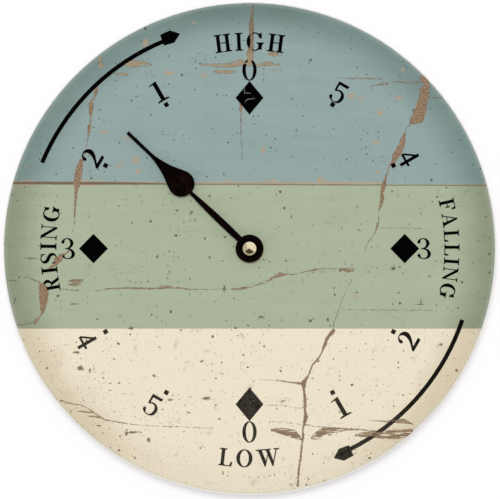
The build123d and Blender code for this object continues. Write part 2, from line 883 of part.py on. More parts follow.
# Hanger: a steel strip clamped under the nut, over the case and up to the hook
hanger_top_z = half_case + hanger_case_gap
hanger_profile = [
    (-case_depth, -hanger_foot),
    (-case_depth, hanger_top_z),
    (wall_out, hanger_top_z),
    (wall_out, half_case + hanger_tab_height),
    (-hanger_thickness, half_case + hanger_tab_height),
    (-hanger_thickness, hanger_top_z + hanger_thickness),
    (-hanger_front_out, hanger_top_z + hanger_thickness),
    (-hanger_front_out, -hanger_foot),
]
with BuildPart() as hanger:
    with BuildSketch(Plane.YZ.offset(-hanger_width / 2)):
        with BuildLine():
            Polyline(*hanger_profile, close=True)
        make_face()
    extrude(amount=hanger_width)
    long_bend_edges = hanger.edges().filter_by(Axis.X).filter_by_position(
        Axis.Z, hanger_top_z + hanger_thickness / 2, hanger_top_z + 2 * hanger_thickness
    )
    fillet(long_bend_edges.sort_by(Axis.Y)[0], hanger_bend)
    tab_corner_edges = hanger.edges().filter_by(Axis.Y).group_by(Axis.Z)[-1]
    fillet(tab_corner_edges, hanger_tab_corner)
    foot_corner_edges = hanger.edges().filter_by(Axis.Y).group_by(Axis.Z)[0]
    fillet(foot_corner_edges, hanger_tab_corner)
    rod(
        shaft,
        case_depth - cut_overrun,
        hanger_front_out + cut_overrun,
        bush_diameter + 2 * hardware_play,
        mode=Mode.SUBTRACT,
    )
    rod(
        (0, hook_hole_height),
        wall_out - cut_overrun,
        hanger_thickness + cut_overrun,
        hook_hole_diameter,
        mode=Mode.SUBTRACT,
    )
save(hanger.part, "hanger")

# Front case of the movement: gear chamber above, battery bay below
core_back_out = layer_out(centre_layer) - stator_thickness / 2 - core_thickness
core_front_out = layer_out(centre_layer) - stator_thickness / 2
stator_front_out = layer_out(centre_layer) + stator_thickness / 2
motor_screw_places = [
    (left_foot_x, coil_axis_z),
    (right_leg_x, coil_axis_z),
]
pcb_front_out = core_front_out + stator_thickness + terminal_tab_thickness + free_gap + pcb_thickness
pcb_back_out = pcb_front_out - pcb_thickness
hook_places = [-hook_spacing / 2, hook_spacing / 2]
barb_front_out = cover_thickness + hook_length
barb_back_out = barb_front_out - hook_barb_length
ledge_front_out = cover_thickness + ledge_height
strip_span_out = (contact_strip_out - contact_strip_width / 2, contact_strip_out + contact_strip_width / 2)
with BuildPart() as front_case:
    with BuildSketch(front_plane(shaft, wall_out)):
        RectangleRounded(case_width, case_width, case_corner)
    extrude(amount=case_depth)
    fillet(front_case.faces().sort_by(Axis.Y)[0].edges(), case_front_round)
    pocket((chamber_low_z, inner_half), (wall_out, chamber_floor_out), 0)
    pocket((bay_low_z, bay_high_z), (wall_out, bay_floor_out), 0)
    for place in bridge_post_places:
        rod(place, bridge_front_out, chamber_floor_out, post_diameter)
        rod(place, bridge_back_out - post_pin_stand, bridge_front_out, post_pin_diameter)
    for place in pcb_peg_places:
        rod(place, pcb_front_out, chamber_floor_out, pcb_peg_diameter)
        rod(place, pcb_back_out - post_pin_stand, pcb_front_out, pcb_pin_diameter)
    for place in motor_screw_places:
        rod(place, stator_front_out, chamber_floor_out, motor_post_diameter)
        rod(
            place,
            stator_front_out,
            stator_front_out + screw_engagement,
            screw_diameter + 2 * slip_fit,
            mode=Mode.SUBTRACT,
        )
    for side in (-1, 1):
        wall_x = side * inner_half
        shelf_x = side * (inner_half - ledge_depth)
        block(
            (min(wall_x, shelf_x), max(wall_x, shelf_x)),
            (-ledge_length / 2, ledge_length / 2),
            (cover_thickness, ledge_front_out),
        )
    block(
        (-ledge_length / 2, ledge_length / 2),
        (inner_half - ledge_depth, inner_half),
        (cover_thickness, ledge_front_out),
    )
    for place in hook_places:
        window_x = (
            place - hook_width / 2 - hook_window_play,
            place + hook_width / 2 + hook_window_play,
        )
        window_out = (barb_back_out - hook_window_play, barb_front_out + hook_window_play)
        block(window_x, (inner_half - slip_fit, half_case + cut_overrun), window_out, mode=Mode.SUBTRACT)
        block(window_x, (bay_high_z - slip_fit, chamber_low_z + slip_fit), window_out, mode=Mode.SUBTRACT)
    for side in (-1, 1):
        notch_x = sorted((side * inner_half, side * (inner_half - pocket_corner)))
        notch_out = (strip_span_out[0] - contact_notch_margin, strip_span_out[1] + contact_notch_margin)
        notch_z = (bay_high_z - pocket_corner, chamber_low_z + pocket_corner)
        block(notch_x, notch_z, notch_out, mode=Mode.SUBTRACT)
    for place in (minute_axis, centre_axis, third_axis, fourth_axis, fifth_axis, rotor_axis):
        rod(
            place,
            chamber_floor_out,
            chamber_floor_out + pivot_depth,
            pivot_diameter + 2 * running_fit,
            mode=Mode.SUBTRACT,
        )
    rod(
        shaft,
        chamber_floor_out,
        case_depth + cut_overrun,
        bush_diameter + 2 * hardware_play,
        mode=Mode.SUBTRACT,
    )
    rod(
        shaft,
        chamber_floor_out,
        chamber_floor_out + bush_flange_thickness,
        bush_flange_diameter + 2 * bush_flange_play,
        mode=Mode.SUBTRACT,
    )
save(front_case.part, "front_case")

# Bridge: the plate that carries the rear pivots
with BuildPart() as train_bridge:
    with BuildSketch(front_plane(shaft, bridge_back_out)):
        with BuildLine():
            Polyline(*bridge_post_places, close=True)
        make_face()
        offset(amount=bridge_rim)
        for place in (centre_axis, third_axis, fourth_axis, fifth_axis, rotor_axis):
            with Locations(place):
                Circle(pivot_diameter / 2 + running_fit, mode=Mode.SUBTRACT)
        for place in bridge_post_places:
            with Locations(place):
                Circle(post_pin_diameter / 2 + pin_play, mode=Mode.SUBTRACT)
        Circle(tide_arbor_tail_diameter / 2 + running_fit, mode=Mode.SUBTRACT)
        with Locations(minute_axis):
            Circle(stem_diameter / 2 + running_fit, mode=Mode.SUBTRACT)
    extrude(amount=bridge_thickness)
save(train_bridge.part, "train_bridge")

# Back cover: a snap-in plate with a well for the set knob
with BuildPart() as back_cover:
    pocket(
        (chamber_low_z, inner_half),
        (wall_out, cover_thickness),
        cover_clearance,
        mode=Mode.ADD,
    )
    rod(minute_axis, wall_out, well_floor_out + well_wall, well_diameter + 2 * well_wall)
    rod(minute_axis, wall_out, well_floor_out, well_diameter, mode=Mode.SUBTRACT)
    rod(
        minute_axis,
        well_floor_out,
        well_floor_out + well_wall,
        stem_diameter + 2 * stem_play,
        mode=Mode.SUBTRACT,
    )
    for place in hook_places:
        hook_x = (place - hook_width / 2, place + hook_width / 2)
        top_face = inner_half - hook_wall_gap
        low_face = chamber_low_z + hook_wall_gap
        block(hook_x, (top_face - hook_thickness, top_face), (cover_thickness, barb_front_out))
        block(hook_x, (top_face, top_face + hook_barb), (barb_back_out, barb_front_out))
        block(hook_x, (low_face, low_face + hook_thickness), (cover_thickness, barb_front_out))
        block(hook_x, (low_face - hook_barb, low_face), (barb_back_out, barb_front_out))
save(back_cover.part, "back_cover")

# Set knob on the stem of the minute wheel
with BuildPart() as set_knob:
    ring(minute_axis, knob_recess, knob_front_out, knob_diameter, stem_diameter + 2 * slip_fit)
    chamfer(set_knob.faces().sort_by(Axis.Y)[-1].outer_wire().edges(), knob_edge_chamfer)
    with BuildSketch(front_plane(minute_axis, knob_recess)):
        with PolarLocations(knob_diameter / 2, knob_grip_count):
            Circle(knob_grip_diameter / 2)
    extrude(amount=knob_thickness, mode=Mode.SUBTRACT)
save(set_knob.part, "set_knob")

# Tide arbor: it turns in the bush and carries the hand
with BuildPart() as tide_arbor:
    collar_front_out = layer_out(tide_layer) - wheel_thickness / 2
    collar_back_out = collar_front_out - tide_arbor_collar_thickness
    rod(shaft, bridge_back_out, collar_back_out, tide_arbor_tail_diameter)
    rod(shaft, collar_back_out, collar_front_out, tide_arbor_collar_diameter)
    rod(shaft, collar_front_out, hand_flange_back_out, tide_arbor_diameter)
    with BuildSketch(Plane(origin=(0, -hand_flange_back_out, 0),
                           x_dir=(cos(radians(hand_angle)), 0, sin(radians(hand_angle))),
                           z_dir=(0, -1, 0))):
        Circle(tide_arbor_diameter / 2)
        Rectangle(tide_arbor_diameter, arbor_flat_width, mode=Mode.INTERSECT)
    extrude(amount=hub_front_out - hand_flange_back_out)
    rod(shaft, hub_front_out, arbor_tip_out, arbor_tip_diameter)
save(tide_arbor.part, "tide_arbor")

# Tide wheel, pressed on the arbor
with BuildPart() as tide_wheel:
    wheel_disc(shaft, tide_layer, tide_wheel_teeth, hand_module, minute_bearing)
    with Locations(front_plane(shaft, chamber_floor_out)):
        Hole(tide_arbor_diameter / 2 + slip_fit)
save(tide_wheel.part, "tide_wheel")

# Minute wheel with its pinion and the stem of the set knob
with BuildPart() as minute_wheel:
    wheel_disc(minute_axis, setting_layer, minute_wheel_teeth, setting_module, centre_bearing)
    pinion_leaves(
        minute_axis,
        layer_out(setting_layer),
        layer_out(tide_layer) + wheel_thickness / 2 + pinion_overhang,
        minute_pinion_teeth,
        hand_module,
        minute_bearing + 180,
    )
    rod(minute_axis, knob_recess, layer_out(setting_layer), stem_diameter)
    rod(minute_axis, layer_out(tide_layer), chamber_floor_out + pivot_depth - free_gap, pivot_diameter)
save(minute_wheel.part, "minute_wheel")

# Centre pinion: it drives the minute wheel, and the centre wheel slips on it
with BuildPart() as centre_pinion:
    pivoted_arbor(centre_axis)
    pinion_leaves(
        centre_axis,
        layer_out(setting_layer) - wheel_thickness / 2 - pinion_overhang,
        layer_out(setting_layer) + wheel_thickness / 2 + pinion_overhang,
        centre_pinion_teeth,
        setting_module,
        centre_bearing + 180,
    )
save(centre_pinion.part, "centre_pinion")

with BuildPart() as centre_wheel:
    wheel_disc(centre_axis, centre_layer, centre_wheel_teeth, train_module, third_bearing)
    with Locations(front_plane(centre_axis, chamber_floor_out)):
        Hole(arbor_diameter / 2 + running_fit)
save(centre_wheel.part, "centre_wheel")

# Slip clutch: a spring washer and a collar hold the centre wheel on its arbor
with BuildPart() as clutch_washer:
    washer_back_out = layer_out(centre_layer) + wheel_thickness / 2 + clutch_gap
    ring(
        centre_axis,
        washer_back_out,
        washer_back_out + clutch_washer_thickness,
        clutch_washer_diameter,
        arbor_diameter + 2 * slip_fit,
    )
save(clutch_washer.part, "clutch_washer")

with BuildPart() as clutch_collar:
    clutch_collar_front_out = layer_out(centre_layer) - wheel_thickness / 2 - clutch_gap
    ring(
        centre_axis,
        clutch_collar_front_out - clutch_collar_thickness,
        clutch_collar_front_out,
        clutch_collar_diameter,
        arbor_diameter + 2 * slip_fit,
    )
save(clutch_collar.part, "clutch_collar")


def train_wheel(place, layer, teeth, wheel_mate_bearing, pinion_mate_bearing):
    """A moulded wheel with its pinion in the layer in front, added to the part in hand."""
    pivoted_arbor(place)
    wheel_disc(place, layer, teeth, train_module, wheel_mate_bearing)
    pinion_leaves(
        place,
        layer_out(layer),
        layer_out(layer - 1) + wheel_thickness / 2 + pinion_overhang,
        train_pinion_teeth,
        train_module,
        pinion_mate_bearing,
    )


with BuildPart() as third_wheel:
    train_wheel(third_axis, third_layer, third_wheel_teeth, fourth_bearing, third_bearing + 180)
save(third_wheel.part, "third_wheel")

with BuildPart() as fourth_wheel:
    train_wheel(fourth_axis, fourth_layer, fourth_wheel_teeth, fifth_bearing, fourth_bearing + 180)
save(fourth_wheel.part, "fourth_wheel")

with BuildPart() as fifth_wheel:
    train_wheel(fifth_axis, fifth_layer, fifth_wheel_teeth, rotor_bearing, fifth_bearing + 180)
save(fifth_wheel.part, "fifth_wheel")

# Rotor of the stepping motor
with BuildPart() as rotor_pinion:
    pivoted_arbor(rotor_axis)
    pinion_leaves(
        rotor_axis,
        layer_out(fifth_layer) - wheel_thickness / 2 - pinion_overhang,
        layer_out(fifth_layer) + wheel_thickness / 2 + pinion_overhang,
        train_pinion_teeth,
        train_module,
        rotor_bearing + 180,
    )
save(rotor_pinion.part, "rotor_pinion")

with BuildPart() as rotor_magnet:
    ring(
        rotor_axis,
        layer_out(centre_layer) - magnet_length / 2,
        layer_out(centre_layer) + magnet_length / 2,
        magnet_diameter,
        arbor_diameter + 2 * slip_fit,
    )
save(rotor_magnet.part, "rotor_magnet")

# Stator: a steel plate with a ring round the rotor and two legs up to the coil core
stator_hole_diameter = magnet_diameter + 2 * stator_gap
stator_ring_diameter = stator_hole_diameter + 2 * stator_ring_width
half_leg = stator_leg_width / 2
with BuildPart() as stator:
    with BuildSketch(front_plane(shaft, core_front_out)):
        with Locations(rotor_axis):
            Circle(stator_ring_diameter / 2)
        with BuildLine():
            Polyline(
                (left_leg_x - half_leg, rotor_axis[1]),
                (left_leg_x - half_leg, left_leg_top - stator_leg_width),
                (left_foot_x - half_leg, left_leg_top - stator_leg_width),
                (left_foot_x - half_leg, coil_axis_z + half_leg),
                (left_foot_x + half_leg, coil_axis_z + half_leg),
                (left_foot_x + half_leg, left_leg_top),
                (left_leg_x + half_leg, left_leg_top),
                (left_leg_x + half_leg, rotor_axis[1]),
                close=True,
            )
        make_face()
        with BuildLine():
            Polyline(
                (right_leg_x - half_leg, rotor_axis[1]),
                (right_leg_x - half_leg, coil_axis_z + half_leg),
                (right_leg_x + half_leg, coil_axis_z + half_leg),
                (right_leg_x + half_leg, rotor_axis[1]),
                close=True,
            )
        make_face()
        with Locations(rotor_axis):
            Circle(stator_hole_diameter / 2, mode=Mode.SUBTRACT)
        for place in motor_screw_places:
            with Locations(place):
                Circle(screw_diameter / 2 + pin_play, mode=Mode.SUBTRACT)
    extrude(amount=stator_thickness)
save(stator.part, "stator")

# Coil core, bobbin and winding
core_left_x = left_foot_x - core_end_margin
core_right_x = right_leg_x + core_end_margin
core_axis_out = core_back_out + core_thickness / 2
with BuildPart() as coil_core:
    block(
        (core_left_x, core_right_x),
        (coil_axis_z - core_width / 2, coil_axis_z + core_width / 2),
        (core_back_out, core_front_out),
    )
    tab_half = core_tab_width / 2
    block(
        (core_left_x, left_foot_x + core_end_margin),
        (coil_axis_z - tab_half, coil_axis_z + tab_half),
        (core_back_out, core_front_out),
    )
    block(
        (right_leg_x - core_end_margin, core_right_x),
        (coil_axis_z - tab_half, coil_axis_z + tab_half),
        (core_back_out, core_front_out),
    )
    for place in motor_screw_places:
        rod(place, core_back_out, core_front_out, screw_diameter + 2 * pin_play, mode=Mode.SUBTRACT)
save(coil_core.part, "coil_core")


def across_plane(x):
    """A plane square to X, centred on the coil."""
    return Plane(origin=(x, -core_axis_out, coil_axis_z), x_dir=(0, -1, 0), z_dir=(1, 0, 0))


with BuildPart() as coil_bobbin:
    with BuildSketch(across_plane(bobbin_left_x)):
        Circle(bobbin_barrel_diameter / 2)
    extrude(amount=bobbin_right_x - bobbin_left_x)
    for flange_x in (bobbin_left_x, bobbin_right_x - bobbin_flange_thickness):
        with BuildSketch(across_plane(flange_x)):
            Circle(bobbin_flange_diameter / 2)
        extrude(amount=bobbin_flange_thickness)
    block(
        (pcb_right_x - terminal_tab_reach, bobbin_left_x + bobbin_flange_thickness),
        (terminal_tab_low, terminal_tab_high),
        (pcb_back_out - terminal_tab_thickness, pcb_back_out),
    )
    with BuildSketch(across_plane(bobbin_left_x)):
        Rectangle(core_thickness + 2 * bobbin_slot_play, core_width + 2 * bobbin_slot_play)
    extrude(amount=bobbin_right_x - bobbin_left_x, mode=Mode.SUBTRACT)
save(coil_bobbin.part, "coil_bobbin")

with BuildPart() as coil_winding:
    with BuildSketch(across_plane(bobbin_left_x + bobbin_flange_thickness)):
        Circle(winding_diameter / 2)
        Circle(bobbin_barrel_diameter / 2 + slip_fit, mode=Mode.SUBTRACT)
    extrude(amount=bobbin_right_x - bobbin_left_x - 2 * bobbin_flange_thickness)
save(coil_winding.part, "coil_winding")

# Two screws through the coil core and the stator
with BuildPart() as motor_screws:
    for place in motor_screw_places:
        rod(place, core_back_out - screw_head_height, core_back_out, screw_head_diameter)
        rod(place, core_back_out, stator_front_out + screw_engagement - free_gap, screw_diameter)
        block(
            (place[0] - screw_head_diameter / 2, place[0] + screw_head_diameter / 2),
            (place[1] - screw_slot_width / 2, place[1] + screw_slot_width / 2),
            (core_back_out - screw_head_height, core_back_out - screw_head_height + screw_slot_depth),
            mode=Mode.SUBTRACT,
        )
save(motor_screws.part, "motor_screws")

# Circuit board: an L-shaped board beside the train
strip_top_z = chamber_low_z + contact_thickness
with BuildPart() as circuit_board:
    with BuildSketch(front_plane(shaft, pcb_back_out)):
        with BuildLine():
            Polyline(
                (pcb_left_x, strip_top_z),
                (pcb_left_x, pcb_top_z),
                (pcb_right_x, pcb_top_z),
                (pcb_right_x, pcb_top_z - pcb_top_arm_height),
                (pcb_left_x + pcb_arm_width, pcb_top_z - pcb_top_arm_height),
                (pcb_left_x + pcb_arm_width, strip_top_z),
                close=True,
            )
        make_face()
        for place in pcb_peg_places:
            with Locations(place):
                Circle(pcb_pin_diameter / 2 + pin_play, mode=Mode.SUBTRACT)
    extrude(amount=pcb_thickness)
    fillet(circuit_board.edges().filter_by(Axis.Y).group_by(Axis.Z)[-1], pcb_corner)
    fillet(circuit_board.edges().filter_by(Axis.Y).group_by(Axis.Z)[0], pcb_corner)
save(circuit_board.part, "circuit_board")

# Black drop of resin over the chip
with BuildPart() as chip_cover:
    rod(chip_cover_at, pcb_back_out - chip_cover_height, pcb_back_out, chip_cover_diameter)
    fillet(chip_cover.faces().sort_by(Axis.Y)[-1].edges(), chip_cover_height * chip_cover_round_share)
save(chip_cover.part, "chip_cover")

# Quartz crystal in its can, with two leads
with BuildPart() as timing_crystal:
    can_low_z = crystal_at[1] - crystal_length / 2
    can_out = pcb_back_out - crystal_diameter / 2
    with BuildSketch(Plane(origin=(crystal_at[0], -can_out, can_low_z), z_dir=(0, 0, 1))):
        Circle(crystal_diameter / 2)
    extrude(amount=crystal_length)
    half_lead = crystal_lead_diameter / 2
    for side in (-1, 1):
        lead_x = crystal_at[0] + side * crystal_lead_spacing / 2
        lead_span = (lead_x - half_lead, lead_x + half_lead)
        lead_low_z = can_low_z - crystal_lead_length
        block(lead_span, (lead_low_z, can_low_z), (can_out - half_lead, can_out + half_lead))
        block(lead_span, (lead_low_z, lead_low_z + crystal_lead_diameter), (can_out, pcb_back_out))
save(timing_crystal.part, "timing_crystal")

# Battery contacts: a bowed spring at the minus end, a dimpled plate and long strip at the plus end
contact_out = (cell_out - contact_width / 2, cell_out + contact_width / 2)
with BuildPart() as minus_contact:
    block(
        (-inner_half, -inner_half + contact_thickness),
        (contact_low_z, bay_high_z - pocket_corner),
        (contact_out[0], strip_span_out[1]),
    )
    block(
        (-inner_half, -inner_half + contact_thickness),
        (bay_high_z - pocket_corner, contact_tab_top),
        strip_span_out,
    )
    bow_foot_x = -inner_half + contact_thickness
    bow_half = contact_width / 2
    with BuildSketch(Plane.XY.offset(cell_z - contact_bow_width / 2)):
        with BuildLine():
            ThreePointArc(
                (bow_foot_x, -(cell_out - bow_half)),
                (bow_foot_x + contact_bow_reach, -cell_out),
                (bow_foot_x, -(cell_out + bow_half)),
            )
            Line((bow_foot_x, -(cell_out + bow_half)), (bow_foot_x, -(cell_out - bow_half)))
        make_face()
    extrude(amount=contact_bow_width)
save(minus_contact.part, "minus_contact")

with BuildPart() as plus_contact:
    block(
        (inner_half - contact_thickness, inner_half),
        (contact_low_z, bay_high_z - pocket_corner),
        (contact_out[0], strip_span_out[1]),
    )
    block(
        (inner_half - contact_thickness, inner_half),
        (bay_high_z - pocket_corner, strip_top_z),
        strip_span_out,
    )
    block(
        (pocket_corner - inner_half, inner_half),
        (chamber_low_z, strip_top_z),
        strip_span_out,
    )
    with BuildSketch(Plane(origin=(inner_half - contact_thickness, -cell_out, cell_z), z_dir=(-1, 0, 0))):
        Circle(contact_dimple_diameter / 2)
    extrude(amount=contact_dimple_height, taper=contact_dimple_taper)
save(plus_contact.part, "plus_contact")


def cell_plane(x):
    """A plane square to X, centred on the battery cell."""
    return Plane(origin=(x, -cell_out, cell_z), x_dir=(0, -1, 0), z_dir=(1, 0, 0))


# Battery cell: steel can with its button, seal ring and plastic jacket
cell_left_x = -cell_length / 2
cell_shoulder_x = cell_length / 2 - cell_button_height
with BuildPart() as battery_can:
    with BuildSketch(cell_plane(cell_left_x)):
        Circle(cell_diameter / 2 - cell_jacket)
    extrude(amount=cell_shoulder_x - cell_seal_thickness - cell_left_x)
    fillet(battery_can.edges(), cell_edge_round)
    with BuildSketch(cell_plane(cell_shoulder_x - cell_seal_thickness)):
        Circle(cell_button_diameter / 2)
    extrude(amount=cell_button_height + cell_seal_thickness)
save(battery_can.part, "battery_can")

with BuildPart() as battery_seal:
    with BuildSketch(cell_plane(cell_shoulder_x - cell_seal_thickness)):
        Circle(cell_diameter / 2 - cell_jacket - cell_edge_round)
        Circle(cell_button_diameter / 2 + slip_fit, mode=Mode.SUBTRACT)
    extrude(amount=cell_seal_thickness)
save(battery_seal.part, "battery_seal")

with BuildPart() as battery_jacket:
    with BuildSketch(cell_plane(cell_left_x + cell_edge_round)):
        Circle(cell_diameter / 2)
        Circle(cell_diameter / 2 - cell_jacket + slip_fit, mode=Mode.SUBTRACT)
    extrude(amount=cell_shoulder_x - cell_left_x - 2 * cell_edge_round)
save(battery_jacket.part, "battery_jacket")


# Tide hand: hub, slim leaf, drop-shaped bulb and thin rod, cut from one sheet
def hand_plane(out):
    """A plane that faces the viewer, with its x direction along the hand."""
    turn = radians(hand_angle)
    return Plane(origin=(0, -out, 0), x_dir=(cos(turn), 0, sin(turn)), z_dir=(0, -1, 0))


bulb_radius = bulb_diameter / 2
neck_half = leaf_neck_width / 2
rod_half = rod_width / 2
tail_rise = (bulb_radius**2 - (bulb_tail_start - bulb_centre) ** 2) ** 0.5
neck_x = bulb_centre - (bulb_radius**2 - neck_half**2) ** 0.5
with BuildPart() as tide_hand:
    with BuildSketch(hand_plane(hand_back_out)):
        with BuildLine():
            Spline(
                (0, leaf_root_width / 2),
                (leaf_middle, leaf_middle_width / 2),
                (neck_x, neck_half),
            )
            ThreePointArc(
                (neck_x, neck_half),
                (bulb_centre, bulb_radius),
                (bulb_tail_start, tail_rise),
            )
            Spline(
                (bulb_tail_start, tail_rise),
                (bulb_tail_middle, bulb_tail_middle_width / 2),
                (bulb_tail_late, bulb_tail_late_width / 2),
                (bulb_tail_end, rod_half),
                tangents=[(tail_rise, bulb_centre - bulb_tail_start), (1, 0)],
            )
            Polyline((bulb_tail_end, rod_half), (hand_length, rod_half), (hand_length, 0), (0, 0))
            Line((0, 0), (0, leaf_root_width / 2))
        make_face()
        mirror(about=Plane.XZ)
    extrude(amount=hand_thickness)
    rod(shaft, hand_back_out, hub_front_out, hand_hub_diameter)
    chamfer(tide_hand.faces().sort_by(Axis.Y)[0].edges(), hand_hub_chamfer)
    rod(shaft, hand_back_out, hub_front_out, hand_bush_diameter + 2 * slip_fit, mode=Mode.SUBTRACT)
save(tide_hand.part, "tide_hand")

# Brass bush riveted in the hand, with a flat-sided hole
with BuildPart() as hand_bush:
    rod(shaft, hand_flange_back_out, hand_back_out, hand_bush_flange_diameter)
    rod(shaft, hand_back_out, hub_front_out, hand_bush_diameter)
    with BuildSketch(hand_plane(hand_flange_back_out)):
        Circle(tide_arbor_diameter / 2 + slip_fit)
        Rectangle(tide_arbor_diameter * 2, arbor_flat_width + 2 * slip_fit, mode=Mode.INTERSECT)
    extrude(amount=hub_front_out - hand_flange_back_out, mode=Mode.SUBTRACT)
save(hand_bush.part, "hand_bush")

# Cap nut: a turned cone with a rounded nose
cap_profile = [
    (arbor_tip_diameter / 2 + slip_fit, -cap_nut_back_out),
    (cap_nut_diameter / 2, -cap_nut_back_out),
    (cap_nut_diameter / 2, -(cap_nut_back_out + cap_nut_band)),
    (cap_nut_nose_diameter / 2, -cap_nut_front_out),
    (0, -cap_nut_front_out),
    (0, -(arbor_tip_out + slip_fit)),
    (arbor_tip_diameter / 2 + slip_fit, -(arbor_tip_out + slip_fit)),
]
with BuildPart() as cap_nut:
    with BuildSketch(Plane.XY):
        with BuildLine():
            Polyline(*cap_profile, close=True)
        make_face()
    revolve(axis=Axis.Y)
    fillet(cap_nut.faces().sort_by(Axis.Y)[0].edges(), cap_nut_nose_round)
save(cap_nut.part, "cap_nut")

for name, place in (
    ("minute", minute_axis),
    ("centre", centre_axis),
    ("third", third_axis),
    ("fourth", fourth_axis),
    ("fifth", fifth_axis),
    ("rotor", rotor_axis),
):
    print(f"{name} axis at x {place[0]:.5f} z {place[1]:.5f}")
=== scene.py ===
"""A round wall tide clock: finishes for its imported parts, and the plain white wall that it hangs on."""

import math

import bpy
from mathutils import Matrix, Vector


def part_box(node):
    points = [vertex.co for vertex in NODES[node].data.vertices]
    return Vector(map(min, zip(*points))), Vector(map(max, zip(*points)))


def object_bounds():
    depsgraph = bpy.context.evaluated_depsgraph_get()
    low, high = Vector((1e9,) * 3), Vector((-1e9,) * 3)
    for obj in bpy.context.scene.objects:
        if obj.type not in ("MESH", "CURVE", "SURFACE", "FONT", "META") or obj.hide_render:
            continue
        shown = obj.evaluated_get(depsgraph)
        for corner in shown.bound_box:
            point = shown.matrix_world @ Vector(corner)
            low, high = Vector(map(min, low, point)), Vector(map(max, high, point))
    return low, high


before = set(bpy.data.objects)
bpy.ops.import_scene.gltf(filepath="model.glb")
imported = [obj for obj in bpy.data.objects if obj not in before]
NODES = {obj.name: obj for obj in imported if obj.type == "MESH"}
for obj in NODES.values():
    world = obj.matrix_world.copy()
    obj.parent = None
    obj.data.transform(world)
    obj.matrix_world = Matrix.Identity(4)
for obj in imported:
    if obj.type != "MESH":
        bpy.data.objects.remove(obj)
cad_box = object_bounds()

bl_info = {
    "name": "Tide clock",
    "version": (1, 0, 0),
    "blender": (4, 5, 0),
    "location": "3D View > Sidebar > Tide clock",
    "description": "Paints a wall tide clock and hangs it on a white wall",
    "category": "Object",
}

MM = 0.001


def linear(red, green, blue):
    """The colour that a painter reads from a chart, 0 to 255 each, in the renderer's linear light."""
    def one(value):
        part = value / 255
        return part / 12.92 if part <= 0.04045 else ((part + 0.055) / 1.055) ** 2.4
    return one(red), one(green), one(blue)


def colour(name, description, red, green, blue):
    """A colour that the user can change."""
    return bpy.props.FloatVectorProperty(
        name=name, description=description, subtype="COLOR", size=3, min=0.0, max=1.0,
        default=linear(red, green, blue),
    )


def length(name, description, metres):
    """A length that the user can change."""
    return bpy.props.FloatProperty(
        name=name, description=description, default=metres, precision=5, subtype="DISTANCE", unit="LENGTH",
    )


def share(name, description, value):
    """A number from 0 to 1 that the user can change."""
    return bpy.props.FloatProperty(name=name, description=description, default=value, min=0.0, max=1.0)


# Colours inside the finishes, beside those that the user can change.
SHADES = {
    "crown": linear(88, 108, 105),
    "rim line": linear(190, 198, 190),
    "brush dark": linear(96, 104, 96),
    "brush light": linear(255, 252, 240),
    "warm paint": linear(255, 245, 215),
    "wood crack": linear(92, 70, 54),
    "pale wood": linear(176, 160, 132),
    "grey wood": linear(108, 104, 94),
    "old wood dark": linear(134, 112, 92),
    "joint wood": linear(206, 184, 158),
    "joint dark": linear(108, 86, 68),
    "split lip": linear(104, 82, 66),
    "ink chip": linear(150, 148, 132),
    "ink scratch": linear(160, 160, 150),
    "primer shade": linear(212, 208, 198),
    "wire gap shade": linear(96, 44, 22),
    "wire glint": linear(206, 128, 80),
    "track": linear(64, 132, 72),
    "resin flow": linear(30, 29, 28),
    "film rubbed": linear(150, 152, 156),
    "wall shade": linear(240, 240, 242),
}


class PlankPaint(bpy.types.PropertyGroup):
    """The printed picture of painted planks on the dial"""
    sea: colour("Upper plank", "Blue grey paint of the top third", 146, 166, 165)
    sea_rim: colour("Upper plank at the rim", "The same paint where it darkens", 119, 140, 138)
    shore: colour("Middle plank", "Sage green paint between the joints", 170, 181, 156)
    shore_rim: colour("Middle plank at the rim", "The same paint where it darkens", 141, 149, 126)
    sand: colour("Lower plank", "Cream paint of the bottom third", 240, 229, 206)
    sand_rim: colour("Lower plank at the rim", "The same paint where it yellows", 217, 203, 176)
    bare_tan: colour("Bare wood, light", "Wood that shows where the upper paint has split", 178, 151, 125)
    bare_brown: colour("Bare wood, dark", "Grain of that wood", 124, 100, 79)
    bare_old: colour("Bare wood, lower", "Wood that shows where the cream paint has split", 155, 131, 105)
    fleck: colour("Flecks", "Dark flecks in the upper paint", 72, 84, 72)
    rust_fleck: colour("Rust flecks", "Tan flecks in the blue paint", 184, 156, 122)
    dust: colour("Dust", "Fine brown specks in the cream paint", 98, 80, 60)
    ink: colour("Ink", "Black print of the scale", 4, 4, 4)
    ink_worn: colour("Worn ink", "The ink of the lower half", 82, 77, 67)
    joint_high: length("Upper joint", "Height of the joint between blue and green", 0.0350)
    joint_low: length("Lower joint", "Height of the edge between green and cream", -0.0433)
    joint_width: length("Groove", "Width of the upper joint's groove", 0.0010)
    dial_radius: length("Dial radius", "Radius of the printed face", 0.1328)
    fade_start: share("Fade start", "Share of the radius where the rim starts to darken", 0.82)
    fade_end: share("Fade end", "Share of the radius where the rim is darkest", 0.985)


class BoardPaint(bpy.types.PropertyGroup):
    """The fibreboard behind the print"""
    edge: colour("Edge", "White primer of the edge and rim", 250, 250, 248)
    back: colour("Back", "Bare brown fibreboard", 150, 116, 82)
    back_dark: colour("Back, dark", "Darker fibres of the board", 112, 82, 56)


class HandPaint(bpy.types.PropertyGroup):
    """The hand and the nut that holds it"""
    black: colour("Hand", "Satin black lacquer with a trace of red", 4, 1, 1)
    # The worn colour also paints the highlight on the hub's edge.
    worn: colour("Hand, worn and highlight", "Where the lacquer is thin, and the painted highlight on the hub's edge", 28, 14, 10)
    nickel: colour("Nut", "Polished nickel with a warm cast", 232, 219, 184)
    # The nut's painted shade colour, for its lower side and its left.
    nickel_painted_shade: colour("Nut, painted shade", "Painted brown shade on the nut's lower side and left", 74, 58, 44)


